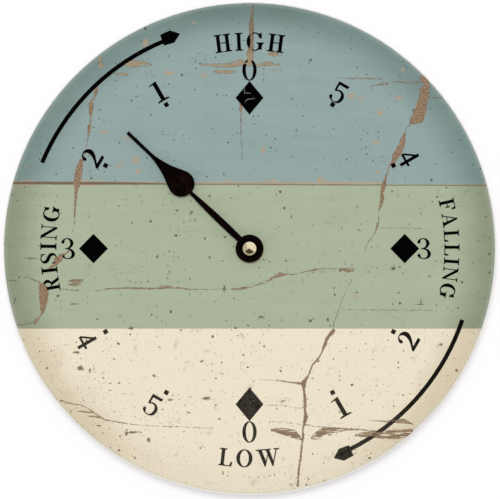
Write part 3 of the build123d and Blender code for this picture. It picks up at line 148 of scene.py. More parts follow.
class MovementPaint(bpy.types.PropertyGroup):
    """Metals and plastics of the movement"""
    case: colour("Case", "Black moulded case", 30, 30, 32)
    knob: colour("Knob", "Black moulded knob", 22, 22, 23)
    rubber: colour("Rubber", "Soft black washer", 20, 20, 20)
    acetal: colour("Wheels", "Natural acetal", 232, 228, 214)
    bridge: colour("Bridge", "Moulded inner plate", 205, 201, 186)
    bobbin: colour("Bobbin", "Moulded coil former", 176, 184, 172)
    brass: colour("Brass", "Turned brass", 206, 166, 96)
    steel: colour("Steel", "Zinc plated steel", 176, 179, 181)
    spring: colour("Contacts", "Nickel plated spring steel", 200, 195, 184)
    copper: colour("Wire", "Enamelled copper wire", 184, 98, 54)
    mask: colour("Circuit", "Green solder mask", 22, 84, 44)
    resin: colour("Resin", "Black resin over the chip", 12, 12, 13)
    magnet: colour("Magnet", "Sintered magnet", 58, 58, 61)


class CellPaint(bpy.types.PropertyGroup):
    """The battery cell"""
    jacket: colour("Jacket", "Plain shrunk film", 62, 68, 78)
    band: colour("Band", "Lighter band at the plus end", 176, 178, 182)
    seal: colour("Seal", "Dark insulating ring", 40, 40, 40)
    can: colour("Can", "Plated steel can", 190, 190, 188)


class WallPaint(bpy.types.PropertyGroup):
    """The wall, the light and the camera"""
    paint: colour("Wall", "White wall and floor", 247, 247, 250)
    lift: share("Wall lift", "Light that the camera alone sees on the wall", 0.17)
    floor_lift: share("Floor lift", "Light that the camera alone sees on the floor", 0.45)
    sky: share("Room light", "Strength of the even light", 0.42)
    lamp_watts: bpy.props.FloatProperty(
        name="Lamp", description="Power of the soft lamp", default=14.4, min=0.0, unit="POWER",
    )
    rear_watts: bpy.props.FloatProperty(
        name="Rear lamp", description="Power of the lamp that lights the back", default=7.0, min=0.0, unit="POWER",
    )
    lamp_size: length("Lamp size", "Side of the soft lamp", 0.42)
    lamp_far: length("Lamp distance", "Distance of the lamp in front of the wall", 1.6)
    lamp_left: length("Lamp to the left", "Offset of the lamp to the left", 0.04)
    lamp_up: length("Lamp up", "Offset of the lamp upwards", 0.19)
    lens: bpy.props.FloatProperty(
        name="Lens", description="Focal length of the camera", default=100.0, subtype="DISTANCE_CAMERA",
    )
    view_far: length("Camera distance", "Distance of the camera from the dial", 0.7513)


class TideClock(bpy.types.PropertyGroup):
    """All that can be changed on the clock"""
    planks: bpy.props.PointerProperty(type=PlankPaint, name="Planks", description="Printed planks")
    board: bpy.props.PointerProperty(type=BoardPaint, name="Board", description="Fibreboard")
    hand: bpy.props.PointerProperty(type=HandPaint, name="Hand", description="Hand and nut")
    movement: bpy.props.PointerProperty(type=MovementPaint, name="Movement", description="Movement")
    cell: bpy.props.PointerProperty(type=CellPaint, name="Cell", description="Battery cell")
    wall: bpy.props.PointerProperty(type=WallPaint, name="Wall", description="Wall, light and camera")


class Wire:
    """One output of a shader node; sums written on it add Math nodes."""

    def __init__(self, mixer, socket):
        self.mixer = mixer
        self.socket = socket

    def math(self, operation, *values):
        """A Math node."""
        return self.mixer.node("ShaderNodeMath", {"operation": operation}, *values)

    def __add__(self, other):
        return self.math("ADD", self, other)

    def __radd__(self, other):
        return self.math("ADD", other, self)

    def __sub__(self, other):
        return self.math("SUBTRACT", self, other)

    def __rsub__(self, other):
        return self.math("SUBTRACT", other, self)

    def __mul__(self, other):
        return self.math("MULTIPLY", self, other)

    def __rmul__(self, other):
        return self.math("MULTIPLY", other, self)

    def __truediv__(self, other):
        return self.math("DIVIDE", self, other)

    def __rtruediv__(self, other):
        return self.math("DIVIDE", other, self)

    def __pow__(self, other):
        return self.math("POWER", self, other)

    def __gt__(self, other):
        return self.math("GREATER_THAN", self, other)

    def __lt__(self, other):
        return self.math("LESS_THAN", self, other)

    def __abs__(self):
        return self.math("ABSOLUTE", self)

    def wave(self):
        """The sine of this value."""
        return self.math("SINE", self)

    def least(self, other):
        """The smaller of two values."""
        return self.math("MINIMUM", self, other)

    def most(self, other):
        """The larger of two values."""
        return self.math("MAXIMUM", self, other)

    def ease(self, start, end):
        """0 up to start, 1 from end, and a smooth rise between."""
        return self.mixer.node(
            "ShaderNodeMapRange", {"interpolation_type": "SMOOTHSTEP"}, self, start, end, 0.0, 1.0,
        )

    def output(self, name):
        """Another output of the same node."""
        return Wire(self.mixer, self.socket.node.outputs[name])


class Mixer:
    """Mixes one finish: every node of a material or of the world is made here."""

    def __init__(self, owner):
        owner.use_nodes = True
        self.owner = owner
        self.tree = owner.node_tree
        self.tree.nodes.clear()

    def node(self, kind, settings=None, *values, **named):
        """Add a node: its settings first, then its inputs in order, then its inputs by name."""
        made = self.tree.nodes.new(kind)
        for key, value in (settings or {}).items():
            if key == "curve":
                self.bend(made.mapping, value)
            else:
                setattr(made, key, value)
        sockets = [socket for socket in made.inputs if socket.enabled]
        for socket, value in zip(sockets, values):
            self.feed(socket, value)
        for name, value in named.items():
            self.feed(next(s for s in sockets if s.name == name.replace("_", " ")), value)
        outputs = [socket for socket in made.outputs if socket.enabled]
        return Wire(self, outputs[0]) if outputs else made

    def feed(self, socket, value):
        """Link an input to another node, or set its value."""
        if isinstance(value, Wire):
            self.tree.links.new(value.socket, socket)
        else:
            socket.default_value = (*value[:3], 1.0) if socket.type == "RGBA" else value

    @staticmethod
    def bend(mapping, points):
        """Straight runs through the points of a curve."""
        curve = mapping.curves[0]
        mapping.use_clip = True
        mapping.extend = "HORIZONTAL"
        for place, height in points[1:-1]:
            curve.points.new(place, height)
        for point, (place, height) in zip(curve.points, points):
            point.location = (place, height)
            point.handle_type = "VECTOR"
        mapping.update()

    def blend(self, amount, first, second, kind="MIX"):
        """A colour between two colours."""
        return self.node(
            "ShaderNodeMix", {"data_type": "RGBA", "blend_type": kind, "clamp_factor": True}, amount, first, second,
        )

    def stretch(self, where, across, deep, high):
        """Coordinates made larger along each axis."""
        return self.node("ShaderNodeVectorMath", {"operation": "MULTIPLY"}, where, (across, deep, high))

    def shift(self, where, offset):
        """Coordinates moved by an offset."""
        return self.node("ShaderNodeVectorMath", {"operation": "ADD"}, where, offset)

    def clouds(self, where, scale, detail=2.0, rough=0.5):
        """Soft noise from 0 to 1, its middle at 0.5."""
        return self.node("ShaderNodeTexNoise", {}, where, Scale=scale, Detail=detail, Roughness=rough)

    def here(self):
        """The place on the object in millimetres."""
        place = self.node("ShaderNodeTexCoord").output("Object")
        return self.stretch(place, 1.0 / MM, 1.0 / MM, 1.0 / MM)

    def axes(self, where):
        """The three numbers of a place."""
        parts = self.node("ShaderNodeSeparateXYZ", {}, where)
        return parts, parts.output("Y"), parts.output("Z")

    def relief(self, height, millimetres, strength):
        """A normal that follows a height between 0 and 1."""
        return self.node("ShaderNodeBump", {}, Strength=strength, Distance=millimetres * MM, Height=height)

    def finish(self, base, rough, **named):
        """The surface and the output."""
        surface = self.node("ShaderNodeBsdfPrincipled", {}, Base_Color=base, Roughness=rough, **named)
        self.node("ShaderNodeOutputMaterial", {}, surface)
        return self.owner


def new_finish(name):
    """A new material to mix, and the place on the object in millimetres."""
    mix = Mixer(bpy.data.materials.new(name))
    return mix, mix.here()


def coat(material, *names):
    """Put a finish on the clock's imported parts."""
    for name in names:
        for slot in NODES[name].material_slots:
            slot.material = material


# Splits in the paint, in millimetres from the hand's axis. Each is a row of points along the split: the place along
# it, the place across it, and half its width there. An upright split runs down, and a level one runs right.
UPRIGHT = {
    "top": [
        (132.3, 1.9, 0.15), (129.6, 1.8, 0.7), (125.9, 1.4, 0.75), (121.9, 0.9, 1.2), (118.3, 1.1, 1.4),
        (115.7, 1.1, 1.25), (109.4, 1.0, 1.3), (105.8, 0.4, 1.9), (103.1, 0.3, 1.9), (100.4, -0.2, 1.5),
        (98.6, -0.2, 0),
    ],
    "under_top_diamond": [
        (79.0, -4.8, 0.7), (75.5, -4.8, 0.9), (73.5, -4.6, 0.2), (61.5, -4.6, 0.2), (60.0, -4.5, 0),
        (56.0, -4.2, 0.12), (50.0, -4.0, 0.15), (47.5, -4.2, 0),
    ],
    "left": [
        (103.8, -81.0, 0.9), (103.0, -81.0, 1.2), (101.2, -81.0, 0.4), (99.6, -80.6, 1.0), (98.6, -80.0, 1.7),
        (97.4, -81.0, 0.3), (95.3, -81.2, 0.1), (94.0, -81.3, 0), (88.0, -82.6, 0), (86.7, -82.7, 0.85),
        (83.6, -83.4, 1.0), (81.6, -83.8, 0.4), (79.8, -85.5, 0.6), (78.4, -85.7, 1.2), (75.4, -85.8, 1.2),
        (72.3, -86.0, 0.6), (69.7, -86.1, 0.15), (66.0, -86.7, 0.85), (63.5, -86.9, 0.85), (60.9, -87.1, 0.35),
        (56.7, -88.0, 0.15), (52.6, -88.3, 0.15), (50.0, -89.6, 0.4), (47.9, -90.9, 1.0), (43.8, -92.0, 1.8),
        (40.2, -92.7, 1.9), (36.6, -93.1, 2.0), (34.9, -93.6, 1.7), (32.4, -93.6, 1.1), (27.3, -94.0, 0.7),
        (20.0, -94.5, 0.35), (12.8, -94.9, 0.15), (7.4, -96.0, 0),
    ],
    "right": [
        (93.5, 93.0, 0.2), (92.6, 93.4, 1.6), (91.3, 94.4, 2.2), (88.8, 96.0, 1.5), (87.4, 95.4, 2.3),
        (86.0, 94.7, 2.4), (82.1, 94.4, 2.4), (77.8, 93.1, 3.0), (73.6, 91.9, 3.4), (70.1, 90.8, 3.6),
        (68.4, 90.0, 3.3), (67.7, 89.4, 3.0), (67.2, 87.0, 0.5), (65.8, 85.5, 0.15), (63.7, 84.4, 0.2),
        (62.3, 83.9, 0.6), (58.8, 83.0, 1.4), (54.5, 81.6, 1.9), (51.0, 79.8, 2.2), (47.4, 78.1, 1.4),
        (44.7, 75.6, 0.4), (41.1, 74.5, 0.25), (38.2, 73.6, 0.6), (35.1, 72.9, 1.1), (33.3, 72.4, 1.3),
        (29.8, 71.7, 0.75), (26.3, 71.7, 1.2), (23.4, 71.0, 0.85), (20.6, 70.0, 0.15), (18.5, 69.9, 0),
        (14.9, 69.8, 0.25), (11.4, 68.9, 0.5), (8.5, 67.8, 0.2), (6.0, 66.0, 0), (4.3, 65.0, 0.55), (2.6, 63.8, 0.1),
        (-2.0, 62.4, 0.1),
    ],
    "left_flake": [
        (-0.4, -97.2, 0.5), (-2.1, -98.6, 0.7), (-3.6, -101.2, 1.2), (-4.9, -103.2, 2.3), (-6.7, -103.6, 2.2),
        (-8.3, -104.7, 1.4), (-9.7, -106.8, 1.5), (-11.2, -108.2, 0.5), (-12.0, -108.8, 0),
    ],
    "left_scar": [
        (-17.8, -113.6, 0.2), (-20.0, -111.8, 2.2), (-23.0, -111.2, 2.7), (-26.1, -111.2, 2.5), (-29.5, -111.6, 2.1),
        (-32.6, -111.8, 1.4), (-34.7, -112.0, 0.6), (-36.8, -113.3, 0.15), (-38.4, -115.2, 1.2), (-40.2, -116.1, 0.7),
        (-41.4, -116.6, 0),
    ],
    "lower": [
        (-14.3, 57.0, 0.05), (-21.5, 52.6, 0.1), (-34.1, 48.0, 0.12), (-39.5, 45.8, 0.15), (-43.3, 45.2, 0.3),
        (-44.2, 45.1, 1.1), (-46.3, 44.0, 1.4), (-48.5, 41.8, 1.0), (-52.2, 40.7, 1.0), (-55.3, 39.5, 0.45),
        (-58.9, 37.7, 0.6), (-63.4, 33.7, 0.55), (-68.0, 32.3, 0.4), (-71.1, 30.0, 1.1), (-72.9, 29.1, 1.6),
        (-76.5, 29.4, 0.6), (-81.0, 30.0, 0.8), (-87.3, 30.0, 0.65), (-90.9, 30.5, 1.25), (-93.6, 30.0, 0.9),
        (-96.3, 29.1, 0.45), (-101.8, 28.9, 0.6), (-107.2, 28.2, 0.5), (-116.2, 27.2, 0.6), (-122.5, 26.4, 0.65),
        (-128.8, 26.0, 0.45),
    ],
}

LEVEL = {
    "across_top": [
        (-27.0, 99.7, 0.2), (-20.6, 99.5, 0.7), (-13.4, 98.9, 1.0), (-9.8, 99.5, 1.3), (-7.1, 100.3, 1.9),
        (-4.7, 100.6, 1.9), (-3.0, 100.4, 1.1), (3.7, 98.9, 0.7), (7.7, 99.7, 0.8), (10.0, 100.2, 1.1),
        (12.2, 99.7, 1.2), (13.3, 99.3, 0.6), (16.9, 99.6, 0.1),
    ],
    "under_top_left": [(-19.6, 96.0, 0.3), (-15.5, 95.6, 1.1), (-11.0, 95.5, 1.0), (-7.0, 95.6, 0.1)],
    "under_top_right": [(10.5, 96.4, 0.1), (14.0, 96.6, 0.3), (18.0, 96.5, 0.1)],
    "top_right": [(10.0, 105.0, 0.7), (12.0, 105.4, 1.2), (15.0, 105.2, 1.1), (16.0, 105.1, 0.2)],
    "under_arrow": [
        (-67.6, 99.8, 0.6), (-65.0, 99.9, 1.8), (-60.0, 100.0, 1.7), (-55.0, 99.6, 1.0), (-52.6, 99.6, 0.1),
    ],
    "under_arrow_low": [(-73.3, 94.6, 0.2), (-69.5, 94.4, 0.7), (-67.0, 94.2, 0.9), (-65.4, 94.2, 0.2)],
    "upper_right_a": [(47.0, 92.3, 0.1), (60.0, 92.1, 0.25), (70.0, 91.9, 0.35), (72.0, 91.9, 0)],
    "upper_right_b": [(65.0, 87.7, 0.15), (70.0, 88.7, 0.3), (73.0, 89.2, 0.6), (75.4, 89.3, 0.05)],
    "upper_right_c": [(78.0, 90.3, 0.15), (84.0, 90.1, 0.35), (88.2, 89.6, 0.7), (92.0, 89.9, 0.3)],
    "upper_right_d": [(96.7, 81.8, 0.15), (102.0, 81.7, 0.25), (104.5, 81.4, 0.1)],
    "middle": [
        (-90.0, -22.7, 0.05), (-80.9, -22.6, 0.1), (-76.4, -21.8, 0.25), (-70.1, -21.5, 0.4), (-60.3, -21.5, 0.5),
        (-51.0, -21.6, 0.35), (-48.4, -21.0, 0.8), (-43.0, -20.8, 0.85), (-41.2, -21.3, 0.35), (-37.6, -21.4, 0.45),
        (-32.2, -22.0, 0.2), (-26.8, -22.1, 0.1), (-10.5, -21.9, 0.1), (-8.9, -21.9, 0.5), (-4.2, -21.5, 0.7),
        (1.2, -20.9, 0.3), (3.9, -19.7, 0.15), (7.0, -18.6, 0.7), (10.2, -17.4, 0.65), (13.4, -15.2, 0.7),
        (16.5, -14.1, 1.15), (19.6, -13.8, 0.4), (23.7, -14.1, 0.12), (30.0, -12.5, 0.15), (35.9, -11.3, 0.55),
        (39.8, -10.9, 0.2), (47.9, -10.7, 0.15), (51.0, -11.4, 0.9), (53.4, -11.7, 1.2), (56.5, -11.4, 0.8),
        (57.6, -10.7, 0),
    ],
    "left_streaks": [(-98.2, -17.7, 0.2), (-95.0, -17.5, 0.9), (-90.0, -17.3, 0.6)],
    "left_streaks_low": [(-97.8, -19.5, 0.2), (-94.5, -19.3, 0.9), (-90.9, -19.1, 0.4)],
    "left_streak_under": [(-103.5, -22.6, 0.3), (-100.0, -21.9, 0.15), (-95.0, -22.6, 0.25), (-91.5, -22.9, 0.1)],
    "left_small": [(-97.0, -30.0, 0.1), (-95.0, -29.9, 0.4), (-92.3, -29.8, 0.1)],
    "left_rim_a": [(-122.0, -5.0, 0.1), (-118.0, -5.1, 0.2), (-113.8, -5.8, 0.15)],
    "left_rim_b": [(-122.0, -15.2, 0.15), (-118.0, -16.2, 0.25), (-114.0, -18.2, 0.3)],
    "left_rim_c": [(-131.0, -17.4, 0.15), (-125.8, -17.4, 0.2)],
    "left_rim_d": [(-125.4, -41.4, 0.3), (-121.0, -40.8, 0.15), (-116.7, -39.9, 0.2)],
    "right_faint": [(50.6, -33.1, 0.08), (75.0, -33.2, 0.12), (99.0, -33.3, 0.08)],
    "right_frame": [(71.0, 11.0, 0.0), (82.0, 11.2, 0.08), (93.0, 10.8, 0.05)],
    "lower_side": [(5.5, -70.7, 0.1), (16.0, -71.5, 0.2), (24.0, -72.5, 0.35), (28.4, -73.1, 0.9)],
    "lower_side_faint": [(9.5, -84.6, 0.05), (18.0, -85.0, 0.12), (28.0, -86.6, 0.1)],
    "lower_side_low": [(12.0, -93.6, 0.05), (20.0, -94.0, 0.12), (28.5, -95.2, 0.1)],
    "lower_flake_left": [
        (11.5, -98.0, 0.4), (14.0, -98.3, 1.1), (16.5, -98.7, 1.6), (21.0, -99.6, 2.2), (24.6, -100.4, 2.2),
        (27.3, -102.2, 1.3), (28.4, -103.4, 0.1),
    ],
    "lower_flake_right": [
        (33.2, -102.6, 0.5), (34.6, -101.9, 1.5), (36.8, -100.9, 2.4), (39.1, -99.4, 2.3), (42.6, -98.3, 1.6),
        (48.0, -98.3, 1.1), (51.7, -97.8, 0.5), (58.7, -98.0, 0.3),
    ],
    "lower_flake_rim": [
        (57.0, -100.9, 0.4), (60.7, -100.8, 1.1), (66.1, -100.2, 1.8), (71.5, -100.6, 2.1), (78.7, -100.6, 2.5),
        (84.1, -100.0, 2.2), (88.5, -98.8, 1.5),
    ],
    "lower_thread": [
        (30.0, -95.2, 0.3), (34.0, -95.8, 0.15), (41.0, -96.8, 0.25), (57.0, -97.7, 0.3), (66.0, -98.6, 0.3),
        (76.0, -99.0, 0.2),
    ],
    "lower_flake_small": [
        (63.4, -92.7, 0.1), (73.3, -93.6, 0.35), (79.6, -93.2, 1.1), (84.1, -93.4, 1.2), (86.3, -94.3, 0.6),
        (89.5, -95.3, 0.1),
    ],
    "lower_left": [
        (-102.5, -82.1, 0.5), (-98.0, -83.5, 0.35), (-91.7, -84.6, 0.25), (-88.1, -86.0, 0.25), (-84.5, -88.4, 0.35),
        (-81.8, -90.5, 0.5), (-78.2, -92.7, 0.35), (-71.8, -93.8, 0.25), (-67.9, -94.5, 0.35), (-64.7, -94.9, 0.1),
        (-52.2, -95.9, 0.1), (-44.8, -96.3, 0.12), (-34.9, -96.5, 0.1), (-19.7, -97.2, 0.06),
    ],
    "lower_left_lens": [(-93.2, -88.0, 0.1), (-90.0, -88.2, 0.5), (-86.0, -88.6, 0.35), (-82.4, -88.8, 0.05)],
    "lower_left_lens_low": [(-87.6, -90.4, 0.1), (-84.0, -90.9, 0.45), (-80.2, -91.4, 0.1)],
}


# The curves of a split hold half widths as shares of WIDEST. THINNEST lets a split fade out before its width is 0.
WIDEST = 5.0
THINNEST = 0.3


def split_depth(mix, along, across, points):
    """How far inside one split a place lies, in millimetres, less than 0 outside it."""
    start, end = points[0][0], points[-1][0]
    low = min(point[1] for point in points)
    reach = max(max(point[1] for point in points) - low, 0.1)
    run = (along - start) / (end - start)
    shares = [(point[0] - start) / (end - start) for point in points]

    def curve(heights):
        return mix.node("ShaderNodeFloatCurve", {"curve": list(zip(shares, heights))}, 1.0, run)

    middle = curve([(point[1] - low) / reach for point in points])
    half = curve([(point[2] + THINNEST) / WIDEST for point in points])
    past_ends = abs(run - 0.5).ease(0.5, 0.502) * 2.0
    return half * WIDEST - THINNEST - abs(across - (middle * reach + low)) - past_ends


# Pale scratches in the ink of the top diamond, given in the same way.
UPRIGHT_SCRATCH = [(86.7, -2.9, 0.05), (85.2, -2.7, 0.16), (83.9, -2.6, 0.05)]
LEVEL_SCRATCHES = (
    [(-2.6, 83.9, 0.05), (-1.0, 84.2, 0.15), (1.0, 83.9, 0.0)],
    [(-2.9, 78.4, 0.0), (-2.2, 79.9, 0.16), (-0.8, 80.8, 0.18), (3.0, 81.2, 0.05)],
)

# Stains in the paint, in the same millimetres: across, up, half the length and half the height.
TAN_STAINS = (
    (-78.7, 63.1, 3.0, 0.7), (-66.0, 59.8, 2.6, 0.7), (-61.4, 47.9, 2.4, 1.8), (-60.6, 42.0, 1.6, 1.2),
    (-56.3, 111.2, 1.6, 1.8), (-43.5, 95.0, 3.0, 1.0), (-70.0, 45.2, 2.0, 0.8), (-24.0, 93.9, 1.8, 0.9),
    (55.4, 82.5, 2.0, 1.0), (70.6, 73.3, 1.7, 1.0), (67.9, 57.7, 2.0, 0.8), (69.0, 41.4, 1.5, 0.9),
    (83.2, 97.0, 1.1, 0.9), (80.5, 81.8, 1.8, 0.8), (7.5, 53.0, 1.2, 2.2), (38.0, 37.6, 1.5, 1.6),
    (43.8, 26.6, 1.8, 1.2), (44.8, 17.5, 1.5, 0.9), (85.0, 18.6, 1.4, 0.6), (57.2, -25.6, 1.8, 2.2),
    (-9.5, -15.2, 1.8, 0.6), (-5.0, -27.8, 1.8, 0.6), (91.5, -36.2, 2.0, 0.4), (73.5, -35.6, 1.4, 0.4),
)
DARK_STAINS = (
    (-91.3, -64.6, 2.1, 1.1), (-23.4, -81.0, 2.3, 0.9), (-63.0, -99.4, 3.6, 0.6), (-66.4, -99.6, 0.9, 1.6),
    (-71.0, -51.5, 0.8, 0.6), (-73.0, -59.8, 0.7, 0.5), (-25.6, -60.9, 0.7, 0.8), (-20.0, -47.4, 0.6, 0.9),
    (-93.8, -56.3, 1.8, 0.7), (-86.3, -66.0, 0.5, 1.3), (-42.8, -81.8, 1.3, 0.5), (-62.0, -113.2, 0.8, 0.6),
    (-70.5, -109.0, 0.7, 0.5), (-81.6, -95.8, 1.1, 0.4), (-33.0, -88.6, 1.2, 0.5), (-16.3, -92.0, 0.7, 0.6),
    (-3.2, -57.4, 0.7, 0.5), (-1.0, -64.2, 0.6, 0.5), (-109.5, -64.6, 0.6, 0.5), (-14.4, -121.5, 0.4, 1.3),
    (-51.5, -68.8, 1.0, 0.8), (-54.5, -103.6, 0.9, 1.0), (-64.4, -43.1, 1.4, 0.8), (77.6, -10.6, 1.3, 0.9),
    (59.2, 10.2, 0.7, 0.8), (33.0, -39.0, 1.1, 0.8), (42.5, -38.5, 0.7, 1.3), (-42.6, -34.2, 0.6, 0.9),
    (-13.6, -21.8, 0.7, 1.9), (81.4, -29.6, 0.8, 0.7), (6.0, -37.0, 1.6, 0.7), (-53.6, 15.0, 0.7, 0.7),
    (92.8, -29.0, 0.35, 1.7), (92.6, -30.2, 2.1, 0.3), (-49.8, -4.2, 0.6, 1.0), (46.0, -25.0, 0.5, 0.8),
    (18.3, -82.5, 2.0, 0.4), (43.5, -100.6, 0.9, 0.6), (49.0, -88.6, 0.9, 0.7), (14.8, -86.6, 0.8, 0.3),
)


def stains(mix, where, places):
    """Stains with ragged sides: 1 inside a stain."""
    ragged = (mix.clouds(mix.stretch(where, 0.6, 1.0, 1.6), 1.0, 4.0, 0.75) - 0.5) * 4.5
    nearest = None
    for across, height, long, tall in places:
        apart = mix.node(
            "ShaderNodeVectorMath", {"operation": "MULTIPLY_ADD"}, where, (1.0 / long, 0.0, 1.0 / tall),
            (-across / long, 0.0, -height / tall),
        )
        far = mix.node("ShaderNodeVectorMath", {"operation": "LENGTH"}, apart)
        nearest = far if nearest is None else nearest.least(far)
    return 1.0 - (nearest + ragged).ease(0.74, 1.12)


def all_splits(mix, where):
    """The greatest depth inside any split, with broken edges and streaks of paint left in the level ones."""
    right, _, up = mix.axes(where)
    fray = mix.clouds(where, 0.9, 4.0, 0.7) - 0.5
    streak = mix.clouds(mix.stretch(where, 0.22, 1.0, 2.4), 0.6, 3.0, 0.6)
    wander = mix.clouds(mix.shift(where, (40.0, 0.0, 90.0)), 0.35, 2.0) - 0.5
    across = right + wander * 0.9
    rise = up + wander * 0.9
    level = None
    for points in LEVEL.values():
        depth = split_depth(mix, right, rise, points)
        level = depth if level is None else level.most(depth)
    paint_left = streak.ease(0.52, 0.62) * level.ease(0.15, 0.8)
    deepest = level - paint_left * 2.6
    for points in UPRIGHT.values():
        deepest = deepest.most(split_depth(mix, up, across, points))
    return deepest + fray * 1.2 - 0.1


def bare_wood(mix, where, settings):
    """Old wood with grain and fine dark cracks, tan above and grey brown under the cream paint."""
    right, _, up = mix.axes(where)
    grain = mix.clouds(mix.stretch(where, 1.4, 1.0, 1.0), 1.3, 3.0, 0.65)
    above = mix.blend(grain.ease(0.40, 0.64), settings.bare_tan, settings.bare_brown)
    net = mix.node(
        "ShaderNodeTexVoronoi", {"feature": "DISTANCE_TO_EDGE"}, mix.stretch(where, 0.8, 0.02, 1.3),
        Scale=0.8, Randomness=1.0,
    )
    above = mix.blend((1.0 - net.ease(0.02, 0.12)) * 0.7, above, SHADES["wood crack"])
    pale = up.ease(88.0, 93.0) * (1.0 - up.ease(104.0, 108.0)) * (1.0 - right.ease(20.0, 40.0))
    above = mix.blend(pale * 0.5, above, SHADES["pale wood"])
    grey = up.ease(104.0, 110.0) * (1.0 - abs(right).ease(6.0, 12.0))
    above = mix.blend(grey * 0.4, above, SHADES["grey wood"])
    fibre = mix.clouds(mix.stretch(where, 0.25, 1.0, 2.6), 0.6, 3.0, 0.6)
    below = mix.blend(fibre.ease(0.4, 0.66), settings.bare_old, SHADES["old wood dark"])
    return mix.blend(up < settings.joint_low / MM, above, below)


def specks(mix, where, offset, cell, least, most, kept, wide=1.0):
    """Irregular specks, one in a share of the cells, with radii from least to most: up to 1 inside a speck."""
    flat = mix.stretch(mix.shift(where, offset), 1.0 / wide, 0.02, 1.0)
    ragged = mix.clouds(flat, 0.7 / most, 2.0, 0.6)
    sway = most * 1.4
    bent = mix.node(
        "ShaderNodeVectorMath", {"operation": "MULTIPLY_ADD"}, ragged.output("Color"), (sway, 0.0, sway), flat,
    )
    spot = mix.node("ShaderNodeTexVoronoi", {}, bent, Scale=1.0 / cell, Randomness=1.0)
    chance = mix.node("ShaderNodeSeparateColor", {}, spot.output("Color"))
    drawn = chance.output("Green")
    size = drawn * drawn * (most - least) + least
    dropped = (chance > kept) * 50.0
    inside = size - spot * cell - dropped + (ragged - 0.5) * sway
    return inside.ease(-0.05, 0.10) * (chance.output("Blue") * 0.8 + 0.4)


def hairs(mix, where, offset, pitch, width):
    """Thin wandering lines, about a pitch apart: 1 on a line."""
    flat = mix.stretch(mix.shift(where, offset), 0.7, 0.02, 1.0)
    wander = mix.clouds(flat, 1.0 / pitch, 3.0, 0.6)
    return 1.0 - abs(wander - 0.5).ease(width * 0.4, width)


def plank_colours(mix, where, settings):
    """The three painted planks with their darker rim, before any wear."""
    right, _, up = mix.axes(where)
    reach = settings.dial_radius / MM
    radius = (right * right + up * up) ** 0.5 / reach
    mottle = mix.clouds(where, 0.045, 3.0, 0.55)
    rim = (radius + (mottle - 0.5) * 0.07).ease(settings.fade_start, settings.fade_end)
    crown = radius.ease(0.90, 0.98) * (1.0 - abs(right).ease(15.0, 55.0)) * 0.4
    sea = mix.blend(crown, mix.blend(rim, settings.sea, settings.sea_rim), SHADES["crown"])
    shore = mix.blend(rim, settings.shore, settings.shore_rim)
    sides = abs(right / reach).ease(0.25, 0.75) * 0.75 + 0.25
    yellowed = (radius + (mottle - 0.5) * 0.22).ease(settings.fade_start, settings.fade_end) * sides
    sand = mix.blend(yellowed, settings.sand, settings.sand_rim)
    upper = mix.blend(up < settings.joint_high / MM, sea, shore)
    planks = mix.blend(up < settings.joint_low / MM, upper, sand)
    planks = mix.blend(radius.ease(0.982, 0.996) * 0.2, planks, SHADES["rim line"])
    brushed = mix.clouds(mix.stretch(where, 0.12, 1.0, 1.0), 0.22, 4.0, 0.6)
    soft = mix.blend(0.16, planks, mix.blend(brushed, SHADES["brush dark"], SHADES["brush light"]), "SOFT_LIGHT")
    return mix.blend((mottle - 0.35) * 0.5, soft, mix.blend(0.12, soft, SHADES["warm paint"]))


def groove(mix, where, settings):
    """The upper joint: how dark its groove is, broad at the left, and how much tan wood shows over it."""
    right, _, up = mix.axes(where)
    level = up - settings.joint_high / MM
    broad = 1.0 - right.ease(-80.0, -25.0)
    wobble = mix.clouds(mix.stretch(where, 0.5, 1.0, 0.5), 0.12, 3.0, 0.6)
    width = settings.joint_width / MM
    from_middle = abs(level + right * 0.004 + 0.3 - broad * 0.3 + (wobble - 0.5) * 0.6)
    dark = 1.0 - (from_middle - broad * 0.4).ease(width * 0.1, width * 0.6)
    chips = mix.clouds(mix.stretch(where, 0.45, 1.0, 0.8), 0.16, 4.0, 0.65)
    height = (chips - 0.40) * 9.0
    tan = (height.most(0.75).least(2.6) - abs(level - 0.6)).ease(-0.1, 0.5)
    tan = tan * (1.0 - right.ease(66.0, 76.0) * 0.92)
    return dark * (broad * 0.15 + 0.7), tan


